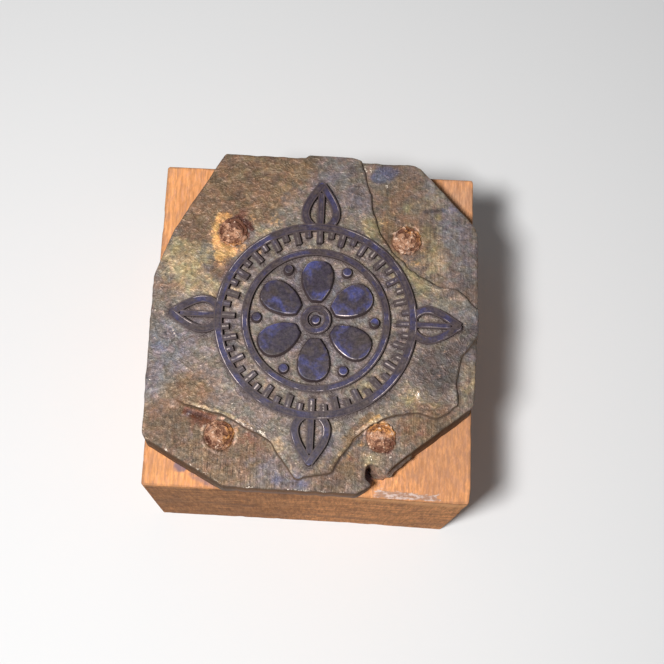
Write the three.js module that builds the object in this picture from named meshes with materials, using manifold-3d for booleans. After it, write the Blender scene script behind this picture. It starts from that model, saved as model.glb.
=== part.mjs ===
// Letterpress printing block: a type-high block of wood with a relief plate held down by four nails.
// Millimetres, +Z up. The origin is the centre of the block's bottom face, and -Y is its front.

import * as THREE from "three";
import { mergeVertices } from "three/addons/utils/BufferGeometryUtils.js";
import Module from "manifold-3d";

const wasm = await Module();
wasm.setup();

// Driving dimensions
const typeHeight = 23.32; // floor to printing face
const plateThickness = 3.86; // back of the plate to printing face
const blockWidth = 27.0;
const blockLeftDepth = 28.36; // the block is a little out of square
const blockRightDepth = 28.84;

// Wood block
const blockCornerRadius = 0.8; // upright corners
const blockArris = 0.3; // worn top and bottom edges

// Plate: how far each surface lies below the printing face
const etchDepth = 0.6;
const routDepth = 1.0;
const plateArris = 0.12;

// Nails
const nailHeadDiameter = 2.4;
const nailHeadThickness = 0.5;
const nailHeadRim = 0.22; // height of the head's upright rim, under its dome
const nailShankDiameter = 1.1;
const nailLength = 12.7; // under the head to the point
const nailPointLength = 1.7;
const nailPointFlat = 0.2; // width of the blunt tip
const nailShankClearance = 0.05; // round the shank, in plate and wood
const nailHeadClearance = 0.1; // round the head, in its pocket
const nailTipClearance = 0.3; // under the tip, in the wood

// Ornament on the printing face: two rings with ticks between them, a flower inside, leaves outside
const ornamentShiftX = 0.2; // ornament's centre from the block's centre
const ornamentShiftY = -0.3;
const outerRingRadius = 8.3;
const outerRingLine = 0.45;
const innerRingLine = 0.35;
const tickCount = 48;
const tickWidth = 0.28;
const longTick = 1.15;
const shortTick = 0.65;
const tickGap = 0.65; // from a long tick's end to the inner ring
const petalCount = 6;
const petalWidth = 2.9;
const petalRootWidth = 0.8;
const petalTipGap = 0.55; // to the inner ring
const petalRootGap = 0.5; // to the ring round the eye
const petalTurnShare = 0.5; // turn of the first petal from +X, as a share of the step between petals
const beadRadius = 0.36;
const beadGap = 0.44; // to the inner ring
const eyeRingRadius = 1.15;
const eyeRingLine = 0.35;
const eyeDotRadius = 0.36;
const leafCount = 4;
const leafTipRadius = 12.3;
const leafWidth = 3.7;
const leafLine = 0.42;
const leafRibLine = 0.3;
const leafRibGap = 1.1; // from the midrib's end to the leaf's tip

// Workshop values
const overrun = 0.4; // how far cuts and joins run past a surface
const roundSteps = 36; // half the sides of the two large rings
const smallSteps = 10; // half the sides of small rounds
const curveSteps = 6; // steps along each curved stretch
const cornerSteps = 4;
const borderSteps = 2; // steps between two points of a routed border

// Heights that follow from the above
const blockHeight = typeHeight - plateThickness;
const etchedFloor = typeHeight - etchDepth;
const routedFloor = typeHeight - routDepth;
const halfWidth = blockWidth / 2;
const halfDepth = (blockLeftDepth + blockRightDepth) / 4;

// Radii that follow from the ornament's lines and gaps
const outerRingMiddle = outerRingRadius - outerRingLine / 2;
const tickRoot = outerRingRadius - outerRingLine;
const innerRingRadius = tickRoot - longTick - tickGap;
const flowerRoom = innerRingRadius - innerRingLine;
const petalTipRadius = flowerRoom - petalTipGap;
const petalRootRadius = eyeRingRadius + petalRootGap;
const beadCircleRadius = flowerRoom - beadGap - beadRadius;

// Plate outline, as shares of the block's half width and half depth, clockwise from the back left.
// The plate stands a little proud of the wood, and a bite is missing near the front right nail.
const plateOutlineShares = [
  [-0.615, 1.007],
  [-0.096, 1.006],
  [-0.085, 1.028],
  [0.207, 1.028],
  [0.274, 1.007],
  [0.607, 1.01],
  [0.659, 0.979],
  [1.007, 0.629],
  [1.026, 0.58],
  [1.033, -0.035],
  [1.015, -0.476],
  [1.0, -0.503],
  [0.47, -0.906],
  [0.426, -0.86],
  [0.393, -0.839],
  [0.367, -0.86],
  [0.367, -0.916],
  [0.407, -0.955],
  [0.311, -1.017],
  [-0.504, -1.01],
  [-0.985, -0.766],
  [-1.004, -0.727],
  [-1.007, 0.196],
  [-0.985, 0.28],
  [-0.904, 0.503],
];

// Where the router went below the etched floor: the inner border of each zone, in the same shares,
// and the corners outside the plate that close it.
const backRoutShares = {
  border: [
    [0.259, 1.06],
    [0.32, 0.85],
    [0.333, 0.755],
    [0.37, 0.622],
    [0.43, 0.49],
    [0.519, 0.381],
    [0.644, 0.304],
    [0.756, 0.238],
    [0.889, 0.21],
    [0.97, 0.154],
    [1.08, 0.063],
  ],
  closing: [[1.08, 1.06]],
};
const frontRoutShares = {
  border: [
    [1.08, -0.014],
    [1.0, -0.105],
    [0.933, -0.217],
    [0.907, -0.35],
    [0.881, -0.469],
    [0.807, -0.538],
    [0.667, -0.535],
    [0.548, -0.531],
    [0.415, -0.587],
    [0.311, -0.671],
    [0.222, -0.769],
    [0.156, -0.892],
    [0.044, -0.916],
    [-0.067, -0.93],
    [-0.126, -0.846],
    [-0.215, -0.748],
    [-0.37, -0.657],
    [-0.593, -0.58],
    [-0.778, -0.531],
    [-1.08, -0.483],
  ],
  closing: [
    [-1.08, -1.08],
    [1.08, -1.08],
  ],
};

// Nail places in the same shares, the floor round each, and how deep its head is driven into that
// floor, as a share of the head's thickness
const nails = [
  { name: "nail_back_left", placeShares: [-0.511, 0.524], floor: etchedFloor, sinkShare: 0.2 },
  { name: "nail_back_right", placeShares: [0.556, 0.517], floor: routedFloor, sinkShare: 0.4 },
  { name: "nail_front_left", placeShares: [-0.526, -0.699], floor: routedFloor, sinkShare: 0.3 },
  { name: "nail_front_right", placeShares: [0.452, -0.664], floor: routedFloor, sinkShare: 0.1 },
];

// Shape of a petal's side: how far out and how wide, as shares of its length and half width
const petalSideShares = { swellOut: 0.35, swellWide: 1.1, shoulderOut: 1.02, shoulderWide: 1.15 };
// Shape of a leaf's side, in the same way
const leafSideShares = { rootWide: 0.35, bellyOut: 0.3, bellyWide: 1.35, neckOut: 0.72, neckWide: 0.4 };

const wood = new THREE.MeshStandardMaterial({ color: 0xb98552, roughness: 0.8, metalness: 0 });
const plateMetal = new THREE.MeshStandardMaterial({ color: 0x5d5850, roughness: 0.55, metalness: 0.8 });
const rustyNail = new THREE.MeshStandardMaterial({ color: 0x7d4a2c, roughness: 0.85, metalness: 0.4 });

function solidOf(geometry) {
  geometry.deleteAttribute("normal");
  geometry.deleteAttribute("uv");
  const merged = mergeVertices(geometry);
  return new wasm.Manifold(
    new wasm.Mesh({
      numProp: 3,
      vertProperties: merged.attributes.position.array,
      triVerts: new Uint32Array(merged.index.array),
    }),
  );
}

function meshOf(name, solid, material) {
  const mesh = solid.getMesh();
  const geometry = new THREE.BufferGeometry();
  geometry.setAttribute("position", new THREE.BufferAttribute(mesh.vertProperties, mesh.numProp));
  geometry.setIndex(new THREE.BufferAttribute(mesh.triVerts, 1));
  geometry.computeVertexNormals();
  const made = new THREE.Mesh(geometry, material);
  made.name = name;
  return made;
}

// A flat shape raised from one height to another. arris chamfers its top and bottom edges.
function raised(shape, from, to, { steps = curveSteps, arris = 0 } = {}) {
  const geometry = new THREE.ExtrudeGeometry(shape, {
    depth: to - from - 2 * arris,
    curveSegments: steps,
    bevelEnabled: arris > 0,
    bevelThickness: arris,
    bevelSize: arris,
    bevelOffset: -arris,
    bevelSegments: 1,
  });
  geometry.translate(0, 0, from + arris);
  return solidOf(geometry);
}

function atShares([shareX, shareY]) {
  return new THREE.Vector2(shareX * halfWidth, shareY * halfDepth);
}

// A closed shape through corner points, with each corner rounded
function roundedShape(corners, radius) {
  const shape = new THREE.Shape();
  corners.forEach((corner, i) => {
    const before = corners.at(i - 1).clone().sub(corner).setLength(radius).add(corner);
    const after = corners[(i + 1) % corners.length].clone().sub(corner).setLength(radius).add(corner);
    if (i === 0) shape.moveTo(before.x, before.y);
    else shape.lineTo(before.x, before.y);
    shape.quadraticCurveTo(corner.x, corner.y, after.x, after.y);
  });
  shape.closePath();
  return shape;
}

function disc(radius) {
  const shape = new THREE.Shape();
  shape.absarc(0, 0, radius, 0, 2 * Math.PI);
  return shape;
}

function ring(radius, line) {
  const shape = disc(radius);
  shape.holes.push(disc(radius - line));
  return shape;
}

// A bar along +X from one radius to another
function bar(from, to, width) {
  const side = width / 2;
  return new THREE.Shape([
    new THREE.Vector2(from, -side),
    new THREE.Vector2(to, -side),
    new THREE.Vector2(to, side),
    new THREE.Vector2(from, side),
  ]);
}

function petal() {
  const length = petalTipRadius - petalRootRadius;
  const side = petalWidth / 2;
  const root = petalRootWidth / 2;
  const swell = petalRootRadius + petalSideShares.swellOut * length;
  const shoulder = petalRootRadius + petalSideShares.shoulderOut * length;
  const swellY = petalSideShares.swellWide * side;
  const shoulderY = petalSideShares.shoulderWide * side;
  const shape = new THREE.Shape();
  shape.moveTo(petalRootRadius, -root);
  shape.bezierCurveTo(swell, -swellY, shoulder, -shoulderY, petalTipRadius, 0);
  shape.bezierCurveTo(shoulder, shoulderY, swell, swellY, petalRootRadius, root);
  shape.closePath();
  return shape;
}

// A leaf's outline, drawn inset by a line's width where it is the hollow inside
function leafOutline(inset) {
  const root = outerRingMiddle + inset;
  const tip = leafTipRadius - 2 * inset;
  const length = tip - root;
  const side = leafWidth / 2 - inset;
  const belly = root + leafSideShares.bellyOut * length;
  const neck = root + leafSideShares.neckOut * length;
  const rootY = leafSideShares.rootWide * side;
  const bellyY = leafSideShares.bellyWide * side;
  const neckY = leafSideShares.neckWide * side;
  const shape = new THREE.Shape();
  shape.moveTo(root, -rootY);
  shape.bezierCurveTo(belly, -bellyY, neck, -neckY, tip, 0);
  shape.bezierCurveTo(neck, neckY, belly, bellyY, root, rootY);
  shape.closePath();
  return shape;
}

function leaf() {
  const shape = leafOutline(0);
  shape.holes.push(leafOutline(leafLine));
  return shape;
}

// Copies of a solid round the Z axis. turnShare turns them all by that share of the step between two.
function turnedCopies(solid, count, turnShare = 0) {
  const step = 360 / count;
  return Array.from({ length: count }, (_, i) => solid.rotate([0, 0, (i + turnShare) * step]));
}

function makeOrnament() {
  const line = (shape, steps = curveSteps) => raised(shape, etchedFloor - overrun, typeHeight, { steps });
  const bead = line(disc(beadRadius)).translate([beadCircleRadius, 0, 0]);
  const tick = (length) => line(bar(tickRoot - length, outerRingMiddle, tickWidth));
  const tickPairs = tickCount / 2;
  const pieces = [
    line(ring(outerRingRadius, outerRingLine), roundSteps),
    line(ring(innerRingRadius, innerRingLine), roundSteps),
    ...turnedCopies(tick(longTick), tickPairs),
    ...turnedCopies(tick(shortTick), tickPairs, 1 / 2),
    ...turnedCopies(line(petal()), petalCount, petalTurnShare),
    ...turnedCopies(bead, petalCount, petalTurnShare + 1 / 2),
    line(ring(eyeRingRadius, eyeRingLine), smallSteps),
    line(disc(eyeDotRadius)),
    ...turnedCopies(line(leaf()), leafCount),
    ...turnedCopies(line(bar(outerRingMiddle, leafTipRadius - leafRibGap, leafRibLine)), leafCount),
  ];
  return wasm.Manifold.union(pieces).translate([ornamentShiftX, ornamentShiftY, 0]);
}

function routedZone({ border, closing }) {
  const shape = new THREE.Shape();
  const [start, ...rest] = border.map(atShares);
  shape.moveTo(start.x, start.y);
  shape.splineThru(rest);
  closing.map(atShares).forEach(({ x, y }) => shape.lineTo(x, y));
  shape.closePath();
  return raised(shape, routedFloor, typeHeight + overrun, { steps: borderSteps });
}

function nailHole(radius, from, to, { x, y }) {
  return raised(disc(radius), from, to, { steps: smallSteps }).translate([x, y, 0]);
}

// Every nail with its place in millimetres and the height its head seats at
const placedNails = nails.map((nail) => ({
  ...nail,
  place: atShares(nail.placeShares),
  seat: nail.floor - nail.sinkShare * nailHeadThickness,
}));

function makePlate() {
  const outline = new THREE.Shape(plateOutlineShares.map(atShares));
  let plate = raised(outline, blockHeight, etchedFloor, { arris: plateArris });
  plate = plate.subtract(routedZone(backRoutShares)).subtract(routedZone(frontRoutShares));
  plate = plate.add(makeOrnament());
  for (const { place, seat } of placedNails) {
    const pocket = nailHeadDiameter / 2 + nailHeadClearance;
    const bore = nailShankDiameter / 2 + nailShankClearance;
    plate = plate.subtract(nailHole(pocket, seat, typeHeight + overrun, place));
    plate = plate.subtract(nailHole(bore, blockHeight - overrun, seat + overrun, place));
  }
  return meshOf("printing_plate", plate, plateMetal);
}

function makeBlock() {
  const leftBack = blockLeftDepth / 2;
  const rightBack = blockRightDepth / 2;
  const corners = [
    new THREE.Vector2(-halfWidth, -leftBack),
    new THREE.Vector2(halfWidth, -rightBack),
    new THREE.Vector2(halfWidth, rightBack),
    new THREE.Vector2(-halfWidth, leftBack),
  ];
  const outline = roundedShape(corners, blockCornerRadius);
  let block = raised(outline, 0, blockHeight, { steps: cornerSteps, arris: blockArris });
  for (const { place, seat } of placedNails) {
    const bore = nailShankDiameter / 2 + nailShankClearance;
    const bottom = seat - nailLength - nailTipClearance;
    block = block.subtract(nailHole(bore, bottom, blockHeight + overrun, place));
  }
  return meshOf("wood_block", block, wood);
}

// A nail turned about its own axis, with its origin under the head
function makeNail({ name, place, seat }) {
  const head = nailHeadDiameter / 2;
  const shank = nailShankDiameter / 2;
  const dome = nailHeadThickness - nailHeadRim;
  const profile = [
    new THREE.Vector2(0, -nailLength),
    new THREE.Vector2(nailPointFlat / 2, -nailLength),
    new THREE.Vector2(shank, -nailLength + nailPointLength),
    new THREE.Vector2(shank, 0),
    new THREE.Vector2(head, 0),
  ];
  for (let i = 0; i <= cornerSteps; i++) {
    const angle = (i / cornerSteps) * (Math.PI / 2);
    profile.push(new THREE.Vector2(head * Math.cos(angle), nailHeadRim + dome * Math.sin(angle)));
  }
  profile.at(-1).x = 0; // cosine leaves a speck there, and the profile ends on the axis
  const geometry = new THREE.LatheGeometry(profile, 2 * smallSteps);
  geometry.rotateX(Math.PI / 2);
  const nail = meshOf(name, solidOf(geometry), rustyNail);
  nail.position.set(place.x, place.y, seat);
  return nail;
}

const printingBlock = new THREE.Group();
printingBlock.add(makeBlock(), makePlate(), ...placedNails.map(makeNail));

export default printingBlock;
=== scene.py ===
# Worn letterpress printing block: a wooden block, a metal relief plate and four rusty nails
import math

import bpy
import numpy as np
from mathutils import Matrix, Vector
from mathutils.geometry import delaunay_2d_cdt


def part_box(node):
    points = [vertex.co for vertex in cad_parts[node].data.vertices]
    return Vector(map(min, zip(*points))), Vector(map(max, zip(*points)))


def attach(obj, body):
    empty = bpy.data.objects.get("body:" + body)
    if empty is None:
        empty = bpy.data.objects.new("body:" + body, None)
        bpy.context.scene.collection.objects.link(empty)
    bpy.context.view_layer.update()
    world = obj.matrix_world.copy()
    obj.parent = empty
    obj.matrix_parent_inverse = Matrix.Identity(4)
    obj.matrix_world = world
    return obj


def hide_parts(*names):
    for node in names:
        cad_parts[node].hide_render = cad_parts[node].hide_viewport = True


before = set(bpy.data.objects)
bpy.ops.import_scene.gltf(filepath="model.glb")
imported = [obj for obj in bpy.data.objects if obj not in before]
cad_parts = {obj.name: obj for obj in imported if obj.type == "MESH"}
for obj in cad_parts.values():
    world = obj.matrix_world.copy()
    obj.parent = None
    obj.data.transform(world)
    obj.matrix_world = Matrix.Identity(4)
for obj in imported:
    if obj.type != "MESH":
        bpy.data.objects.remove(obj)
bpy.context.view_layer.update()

mm = 0.001  # the lists and dictionaries below are in millimetres
scene = bpy.context.scene


# Helpers for meshes, all in millimetres until meshObject

hashFactors = (73856093, 19349663, 83492791)
seedFactor, stirFactor = 2654435, 1274126177


def latticeNoise(points, seed):  # smooth value noise from -1 to 1, one cell per unit
    cell = np.floor(points).astype(np.int64)
    part = points - cell
    part = part * part * (3 - 2 * part)
    total = np.zeros(len(points))
    for corner in range(8):
        step = np.array([corner & 1, corner >> 1 & 1, corner >> 2 & 1])
        weight = np.prod(np.where(step, part, 1 - part), axis=1)
        hashed = np.bitwise_xor.reduce((cell + step) * hashFactors, axis=1) ^ seed * seedFactor
        hashed = (hashed ^ hashed >> 13) * stirFactor & 0xffffffff
        hashed = (hashed ^ hashed >> 15) & 0xffff
        total += weight * (hashed / 0x7fff - 1)
    return total


def roughness(points, size, seed, octaves=3):  # several noises, each half as large and half as strong
    points = np.asarray(points, float)
    if points.shape[1] == 2:
        points = np.c_[points, np.zeros(len(points))]
    scale = 1 / np.asarray(size, float)
    total = sum(latticeNoise(points * scale * 2 ** k, seed + k) / 2 ** k for k in range(octaves))
    return total / (2 - 2 ** (1 - octaves))


def uneven(points, wave):  # wave is (height, size, seed, octaves)
    height, *rest = wave
    return height * roughness(points, *rest)


def evened(values, reach=6):  # running mean around a loop
    padded = np.r_[values[-reach:], values, values[:reach]]
    return np.convolve(padded, np.ones(2 * reach + 1) / (2 * reach + 1), "valid")


def awayFrom(points, place):
    return np.linalg.norm(points - place, axis=1)


def smoothStep(low, high, value):
    share = np.clip((value - low) / (high - low), 0, 1)
    return share * share * (3 - 2 * share)


def distanceToPath(points, path, closed=False):
    ends = np.roll(path, -1, axis=0) if closed else path[1:]
    best = np.full(len(points), np.inf)
    for start, end in zip(path, ends):
        along = end - start
        share = np.clip((points - start) @ along / max(along @ along, 1e-12), 0, 1)
        gap = points - start - share[:, None] * along
        best = np.minimum(best, np.einsum("ij,ij->i", gap, gap))
    return np.sqrt(best)


def insideLoop(points, loop):
    x, y = points.T
    inside = np.zeros(len(points), bool)
    for (x1, y1), (x2, y2) in zip(loop, np.roll(loop, -1, axis=0)):
        if y1 != y2:
            inside ^= ((y1 > y) != (y2 > y)) & (x < (x2 - x1) * (y - y1) / (y2 - y1) + x1)
    return inside


def smoothPath(corners, steps):  # Catmull-Rom through given points
    corners = np.asarray(corners, float)
    padded = np.vstack([2 * corners[0] - corners[1], corners, 2 * corners[-1] - corners[-2]])
    path = []
    for before, start, end, after in zip(padded, padded[1:], padded[2:], padded[3:]):
        for t in np.linspace(0, 1, steps, endpoint=False):
            square = 2 * before - 5 * start + 4 * end - after
            cube = 3 * start - before - 3 * end + after
            path.append(0.5 * (2 * start + (end - before) * t + square * t ** 2 + cube * t ** 3))
    return np.array(path + [corners[-1]])


def resample(path, step, closed=False):  # points at an even pace along a path
    path = np.vstack([path, path[:1]]) if closed else path
    reach = np.r_[0, np.cumsum(np.linalg.norm(np.diff(path, axis=0), axis=1))]
    count = max(int(round(reach[-1] / step)), 3)
    at = np.linspace(0, reach[-1], count + 1)
    at = at[:-1] if closed else at
    return np.c_[np.interp(at, reach, path[:, 0]), np.interp(at, reach, path[:, 1])]


def outwardNormals(loop):  # of an anticlockwise loop
    along = np.roll(loop, -1, axis=0) - np.roll(loop, 1, axis=0)
    along /= np.linalg.norm(along, axis=1)[:, None]
    return np.c_[along[:, 1], -along[:, 0]]


def anticlockwise(loop):
    x, y = loop.T
    area = np.sum(x * np.roll(y, -1) - y * np.roll(x, -1))
    return loop if area > 0 else loop[::-1].copy()


def ringPoints(centre, radius, count):
    angle = np.arange(count) * 2 * math.pi / count
    return np.c_[centre[0] + radius * np.cos(angle), centre[1] + radius * np.sin(angle)]


def triangulate(loops, loose):  # the area inside the first loop and outside the others
    points = np.vstack([*loops, loose]) if len(loose) else np.vstack(loops)
    edges, start = [], 0
    for loop in loops:
        index = np.arange(start, start + len(loop))
        edges += list(zip(index.tolist(), np.roll(index, -1).tolist()))
        start += len(loop)
    made = delaunay_2d_cdt([Vector(p) for p in points], edges, [], 0, 1e-9, True)
    flat = np.array([points[given[0]] if given else tuple(p) for p, given in zip(made[0], made[3])])
    faces = np.array(made[2])
    middle = flat[faces].mean(axis=1)
    keep = insideLoop(middle, loops[0])
    for hole in loops[1:]:
        keep &= ~insideLoop(middle, hole)
    return flat, faces[keep]


class Builder:  # collects patches of one piece and joins them where their points meet
    def __init__(self):
        self.points, self.faces, self.count = [], [], 0

    def add(self, points, faces):
        self.points.append(np.asarray(points, float))
        self.faces.append(np.asarray(faces) + self.count)
        self.count += len(points)

    def level(self, flat, height, faces):
        self.add(np.c_[flat, np.full(len(flat), height)], faces)

    def strip(self, rows):  # closed rows of equally many points, joined by pairs of triangles
        width = len(rows[0])
        index = np.arange(width)
        after = (index + 1) % width
        faces = []
        for row in range(len(rows) - 1):
            low, high = row * width, (row + 1) * width
            faces.append(np.c_[low + index, low + after, high + after])
            faces.append(np.c_[low + index, high + after, high + index])
        self.add(np.vstack(rows), np.vstack(faces))

    def joined(self):
        points = np.vstack(self.points)
        first, back = np.unique(np.round(points, 5), axis=0, return_index=True, return_inverse=True)[1:]
        return points[first], back.ravel()[np.vstack(self.faces)]

    def finish(self, name):
        points, faces = self.joined()
        solid = np.all(faces != np.roll(faces, 1, axis=1), axis=1)
        return meshObject(name, points, faces[solid])


def meshObject(name, points, faces):  # points in millimetres
    mesh = bpy.data.meshes.new(name)
    mesh.vertices.add(len(points))
    mesh.vertices.foreach_set("co", (np.asarray(points) * mm).ravel())
    mesh.loops.add(faces.size)
    mesh.loops.foreach_set("vertex_index", faces.ravel())
    mesh.polygons.add(len(faces))
    mesh.polygons.foreach_set("loop_start", np.arange(0, faces.size, faces.shape[1]))
    mesh.update(calc_edges=True)
    mesh.validate()
    mesh.polygons.foreach_set("use_smooth", np.ones(len(mesh.polygons), bool))
    made = bpy.data.objects.new(name, mesh)
    scene.collection.objects.link(made)
    return made


def lineObject(name, points):  # bare points for a Geometry Nodes tree to start from
    return meshObject(name, points, np.zeros((0, 3), int))


def vectorsOf(piece, what):
    flat = np.empty(len(piece.data.vertices) * 3)
    piece.data.vertices.foreach_get(what, flat)
    return flat.reshape(-1, 3)


def pointsOf(piece):
    return vectorsOf(piece, "co") / mm


def movePoints(piece, points):
    piece.data.vertices.foreach_set("co", (points * mm).ravel())
    piece.data.update()


def paint(piece, name, values):  # a number at each point, for the material to read
    attribute = piece.data.attributes.new(name, "FLOAT", "POINT")
    attribute.data.foreach_set("value", np.asarray(values, np.float32))


def marks(points, places):  # soft spots (x, y, radius, strength), streaks (x, y, x, y, half width, strength)
    total = np.zeros(len(points))
    for *ends, width, strength in places:
        path = np.reshape(ends if len(ends) == 4 else ends * 2, (2, 2))
        total += strength * np.exp(-(distanceToPath(points, path) / width) ** 2)
    return np.clip(total, 0, 1)


def centreOf(node):
    low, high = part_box(node)
    return np.array([(low[0] + high[0]) / 2, (low[1] + high[1]) / 2]) / mm


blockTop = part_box("wood_block")[1][2] / mm
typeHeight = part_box("printing_plate")[1][2] / mm
nailShift = {  # how far the rusted heads spread to one side in the photograph
    "nail_back_left": (-0.24, -0.37),
    "nail_back_right": (0.15, -0.04),
    "nail_front_left": (-0.07, -0.17),
    "nail_front_right": (-0.1, -0.3),
}
nailPlaces = {name: centreOf(name) + shift for name, shift in nailShift.items()}

ornament = {
    "centre": (0.2, -0.3),
    "outerRing": 8.3,
    "outerLine": 0.45,
    "innerRing": 6.05,
    "innerLine": 0.35,
    "tickCount": 48,
    "tickWidth": 0.28,
    "longTick": 1.15,
    "shortTick": 0.65,
    "petalCount": 6,
    "petalRoot": 1.65,
    "petalTip": 5.15,
    "petalWidth": 2.9,
    "petalRootWidth": 0.8,
    "beadRadius": 0.36,
    "beadCircle": 4.9,
    "eyeRing": 1.15,
    "eyeLine": 0.35,
    "eyeDot": 0.36,
    "leafCount": 4,
    "leafTip": 12.3,
    "leafTipSize": 0.54,  # of the round tip, as a share of the eye's dot
    "leafWidth": 3.7,
    "leafLine": 0.42,
    "ribLine": 0.3,
    "ribEnd": 11.2,
    "depth": 0.7,  # of the raised lines, with the flare of their foot and the round of their shoulder
    "flare": 0.12,
    "shoulder": 0.08,
    "stepDown": 0.008,  # lines that meet end this far apart in height
    "wobble": 0.07,
    "wear": 0.04,
}

plate = {
    "etched": 0.6,  # floor of the field, below the printing face
    "routed": 1.0,  # floor of the cut-away corners
    "gridStep": 0.17,
    "edgeStep": 0.15,
    "edgeRound": 0.12,
    "lean": 0.05,  # how far the sawn sides lean in towards the top
    # facing, from |x| on, lean
    "chamferLean": [((0.63, -0.777), 6.0, 0.22), ((-0.473, -0.881), 5.0, 0.19)],
    "undercut": 0.1,  # how far the front side's foot is drawn in
    "footRound": 0.06,
    "footHeight": 0.08,
    "sideRows": (0.1, 0.18, 0.26, 0.34, 0.42, 0.5, 0.56, 0.6, 0.66, 0.74, 0.82, 0.91),  # shares of the height
    "ledge": [(6.9, -12.6), (7.6, -12.1), (8.7, -11.3)],  # torn strip along the front right chamfer
    "ledgeWidth": 0.34,
    "slump": [(5.7, -12.05), (5.95, -12.35), (6.1, -12.6)],  # metal pressed into the notch from the right
    "slumpWidth": 0.45,
    "slumpEnd": (6.4, -12.96),
    "tips": [(5.03, -13.69), (6.35, -12.6)],  # beside the notch the metal ends in points, which stay sharp
    "gouge": [(-10.2, -8.1, -9.2, -8.5, 0.3, 0.8), (-9.2, -8.5, -7.6, -8.95, 0.35, 1.0)],
    "gougeDepth": 0.2,
    "lineFoot": 0.06,  # the floor rises to the raised lines and falls to the plate's edge
    "edgeFall": 0.05,
    "lipHeight": 0.05,
    "borderStep": 0.11,
    "borderRows": (-0.2, -0.055, 0.0, 0.06, 0.2),  # finer mesh beside the borders and around the nails
    "pocketRows": (1.1, 1.2, 1.28, 1.36, 1.48),
    "pocketEdge": (1.16, 1.34),
    "boreRadius": 0.6,
    "swell": (0.05, 4.0, 3, 2),  # unevenness, each (height, size, seed, octaves)
    "grain": (0.03, 0.5, 11, 3),
    "edgeRagged": (0.06, 0.8, 41, 3),
    "borderRagged": (0.07, 0.7, 37, 3),
    "pocketRagged": (0.08, 0.5, 51, 2),
    "sideRough": (0.04, (0.25, 0.25, 1.2), 61, 2),
    "sideCrumbs": (0.6, (0.3, 0.3, 0.5), 63, 2),
    "cutterDepth": 0.012,
    "cutterMarks": [  # of the front corners and of the back one: direction across, distance, unevenness
        ((1.0, 0.0), 0.42, (0.35, (1.5, 6, 1), 21, 2)), ((0.5, -0.87), 0.5, (0.3, 2, 23, 2)),
    ],
    # spots where the border's lip is bright: burnished metal with a painted highlight
    "brightLip": [(-9.4, -7.9, 0.9, 1.0), (-8.0, -8.3, 0.7, 0.8), (-6.4, -8.9, 0.8, 0.8),
        (-5.2, -9.4, 0.7, 0.9), (-4.1, -9.9, 0.7, 1.0), (-3.2, -10.5, 0.6, 0.8), (-2.4, -11.4, 0.7, 0.55),
        (-1.4, -12.8, 0.6, 0.4), (5.4, -8.5, 0.9, 1.0), (4.4, -9.4, 0.7, 0.95), (3.6, -10.6, 0.7, 0.75),
        (3.0, -11.6, 0.6, 0.6), (9.5, -7.6, 0.8, 0.3)],
    "cleanUnshadedBorder": [(-9.0, -8.1, 1.6, 0.5), (-4.6, -9.7, 1.8, 0.45), (6.6, 6.2, 1.5, 0.6),
        (9.8, 3.8, 1.7, 0.75), (12.6, 2.6, 1.3, 0.7), (4.9, -9.3, 1.3, 0.4)],
    "paleRings": {"nail_back_right": 0.35, "nail_front_left": 1.0, "nail_front_right": 0.6},
    "biteCentre": (5.7, -12.5),  # the notch's walls keep the colour of the plate, without the painted shade of the other sides
    "tornWalls": [(6.0, -12.0, 0.6, 1.0), (6.25, -12.6, 0.45, 0.9), (5.5, -11.9, 0.35, 0.5)],
    "tornStrip": [(7.0, -12.6, 8.6, -11.6, 0.3, 1.0)],
    "frontNickGlint": [(-12.9, -10.75, -6.8, -14.05, 0.13, 0.75)],
    "outline": [(-8.3, 14.4), (-1.3, 14.39), (-1.15, 14.7), (2.79, 14.7), (3.7, 14.4), (8.19, 14.44),
        (8.9, 14.0), (13.59, 8.99), (13.85, 8.29), (13.95, -0.5), (13.7, -6.81), (13.5, -7.19),
        (6.35, -12.96), (5.75, -12.3), (5.31, -12.0), (4.95, -12.3), (4.95, -13.1), (5.49, -13.66),
        (4.2, -14.54), (-6.8, -14.44), (-13.3, -10.95), (-13.55, -10.4), (-13.59, 2.8), (-13.3, 4.0),
        (-12.2, 7.19)],
    "backBorder": [(3.3, 15.2), (3.55, 14.0), (3.85, 13.2), (3.95, 12.7), (4.2, 11.8), (4.45, 11.2),
        (4.6, 10.1), (4.75, 9.5), (4.95, 8.9), (5.15, 8.2), (5.4, 7.6), (5.9, 7.0), (6.2, 6.5), (6.5, 6.0),
        (6.95, 5.6), (7.45, 5.25), (7.9, 4.7), (8.35, 4.5), (8.7, 4.2), (9.3, 3.9), (10.0, 3.5),
        (10.7, 3.25), (11.9, 3.15), (12.3, 2.85), (12.8, 2.45), (13.35, 1.8), (14.6, 0.7)],
    "backClosing": [(14.6, 15.2)],
    "frontBorder": [(14.6, 0.2), (13.85, -0.7), (13.4, -1.4), (13.0, -2.0), (12.6, -2.55), (12.4, -3.1),
        (12.25, -3.7), (12.15, -4.4), (12.05, -5.0), (12.1, -5.6), (12.2, -6.3), (12.15, -6.8),
        (11.85, -7.05), (11.5, -7.45), (11.1, -7.65), (10.6, -7.95), (10.1, -7.95), (9.5, -7.75),
        (8.9, -7.65), (8.2, -7.7), (7.4, -7.85), (6.5, -8.1), (6.0, -8.3), (5.4, -8.7), (4.8, -9.1),
        (4.1, -9.7), (3.7, -10.1), (3.4, -10.7), (3.0, -11.2), (2.6, -11.8), (2.3, -12.4), (2.1, -12.8),
        (1.5, -13.0), (0.0, -13.3), (-0.5, -13.5), (-0.9, -13.4), (-1.5, -12.6), (-1.9, -12.1),
        (-2.4, -11.5), (-3.0, -10.6), (-4.0, -10.0), (-5.0, -9.6), (-6.0, -9.05), (-7.05, -8.55),
        (-8.1, -8.35), (-9.1, -8.05), (-10.1, -7.8), (-11.2, -7.4), (-14.6, -6.8)],
    "frontClosing": [(-14.6, -15.5), (14.6, -15.5)],
}


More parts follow.
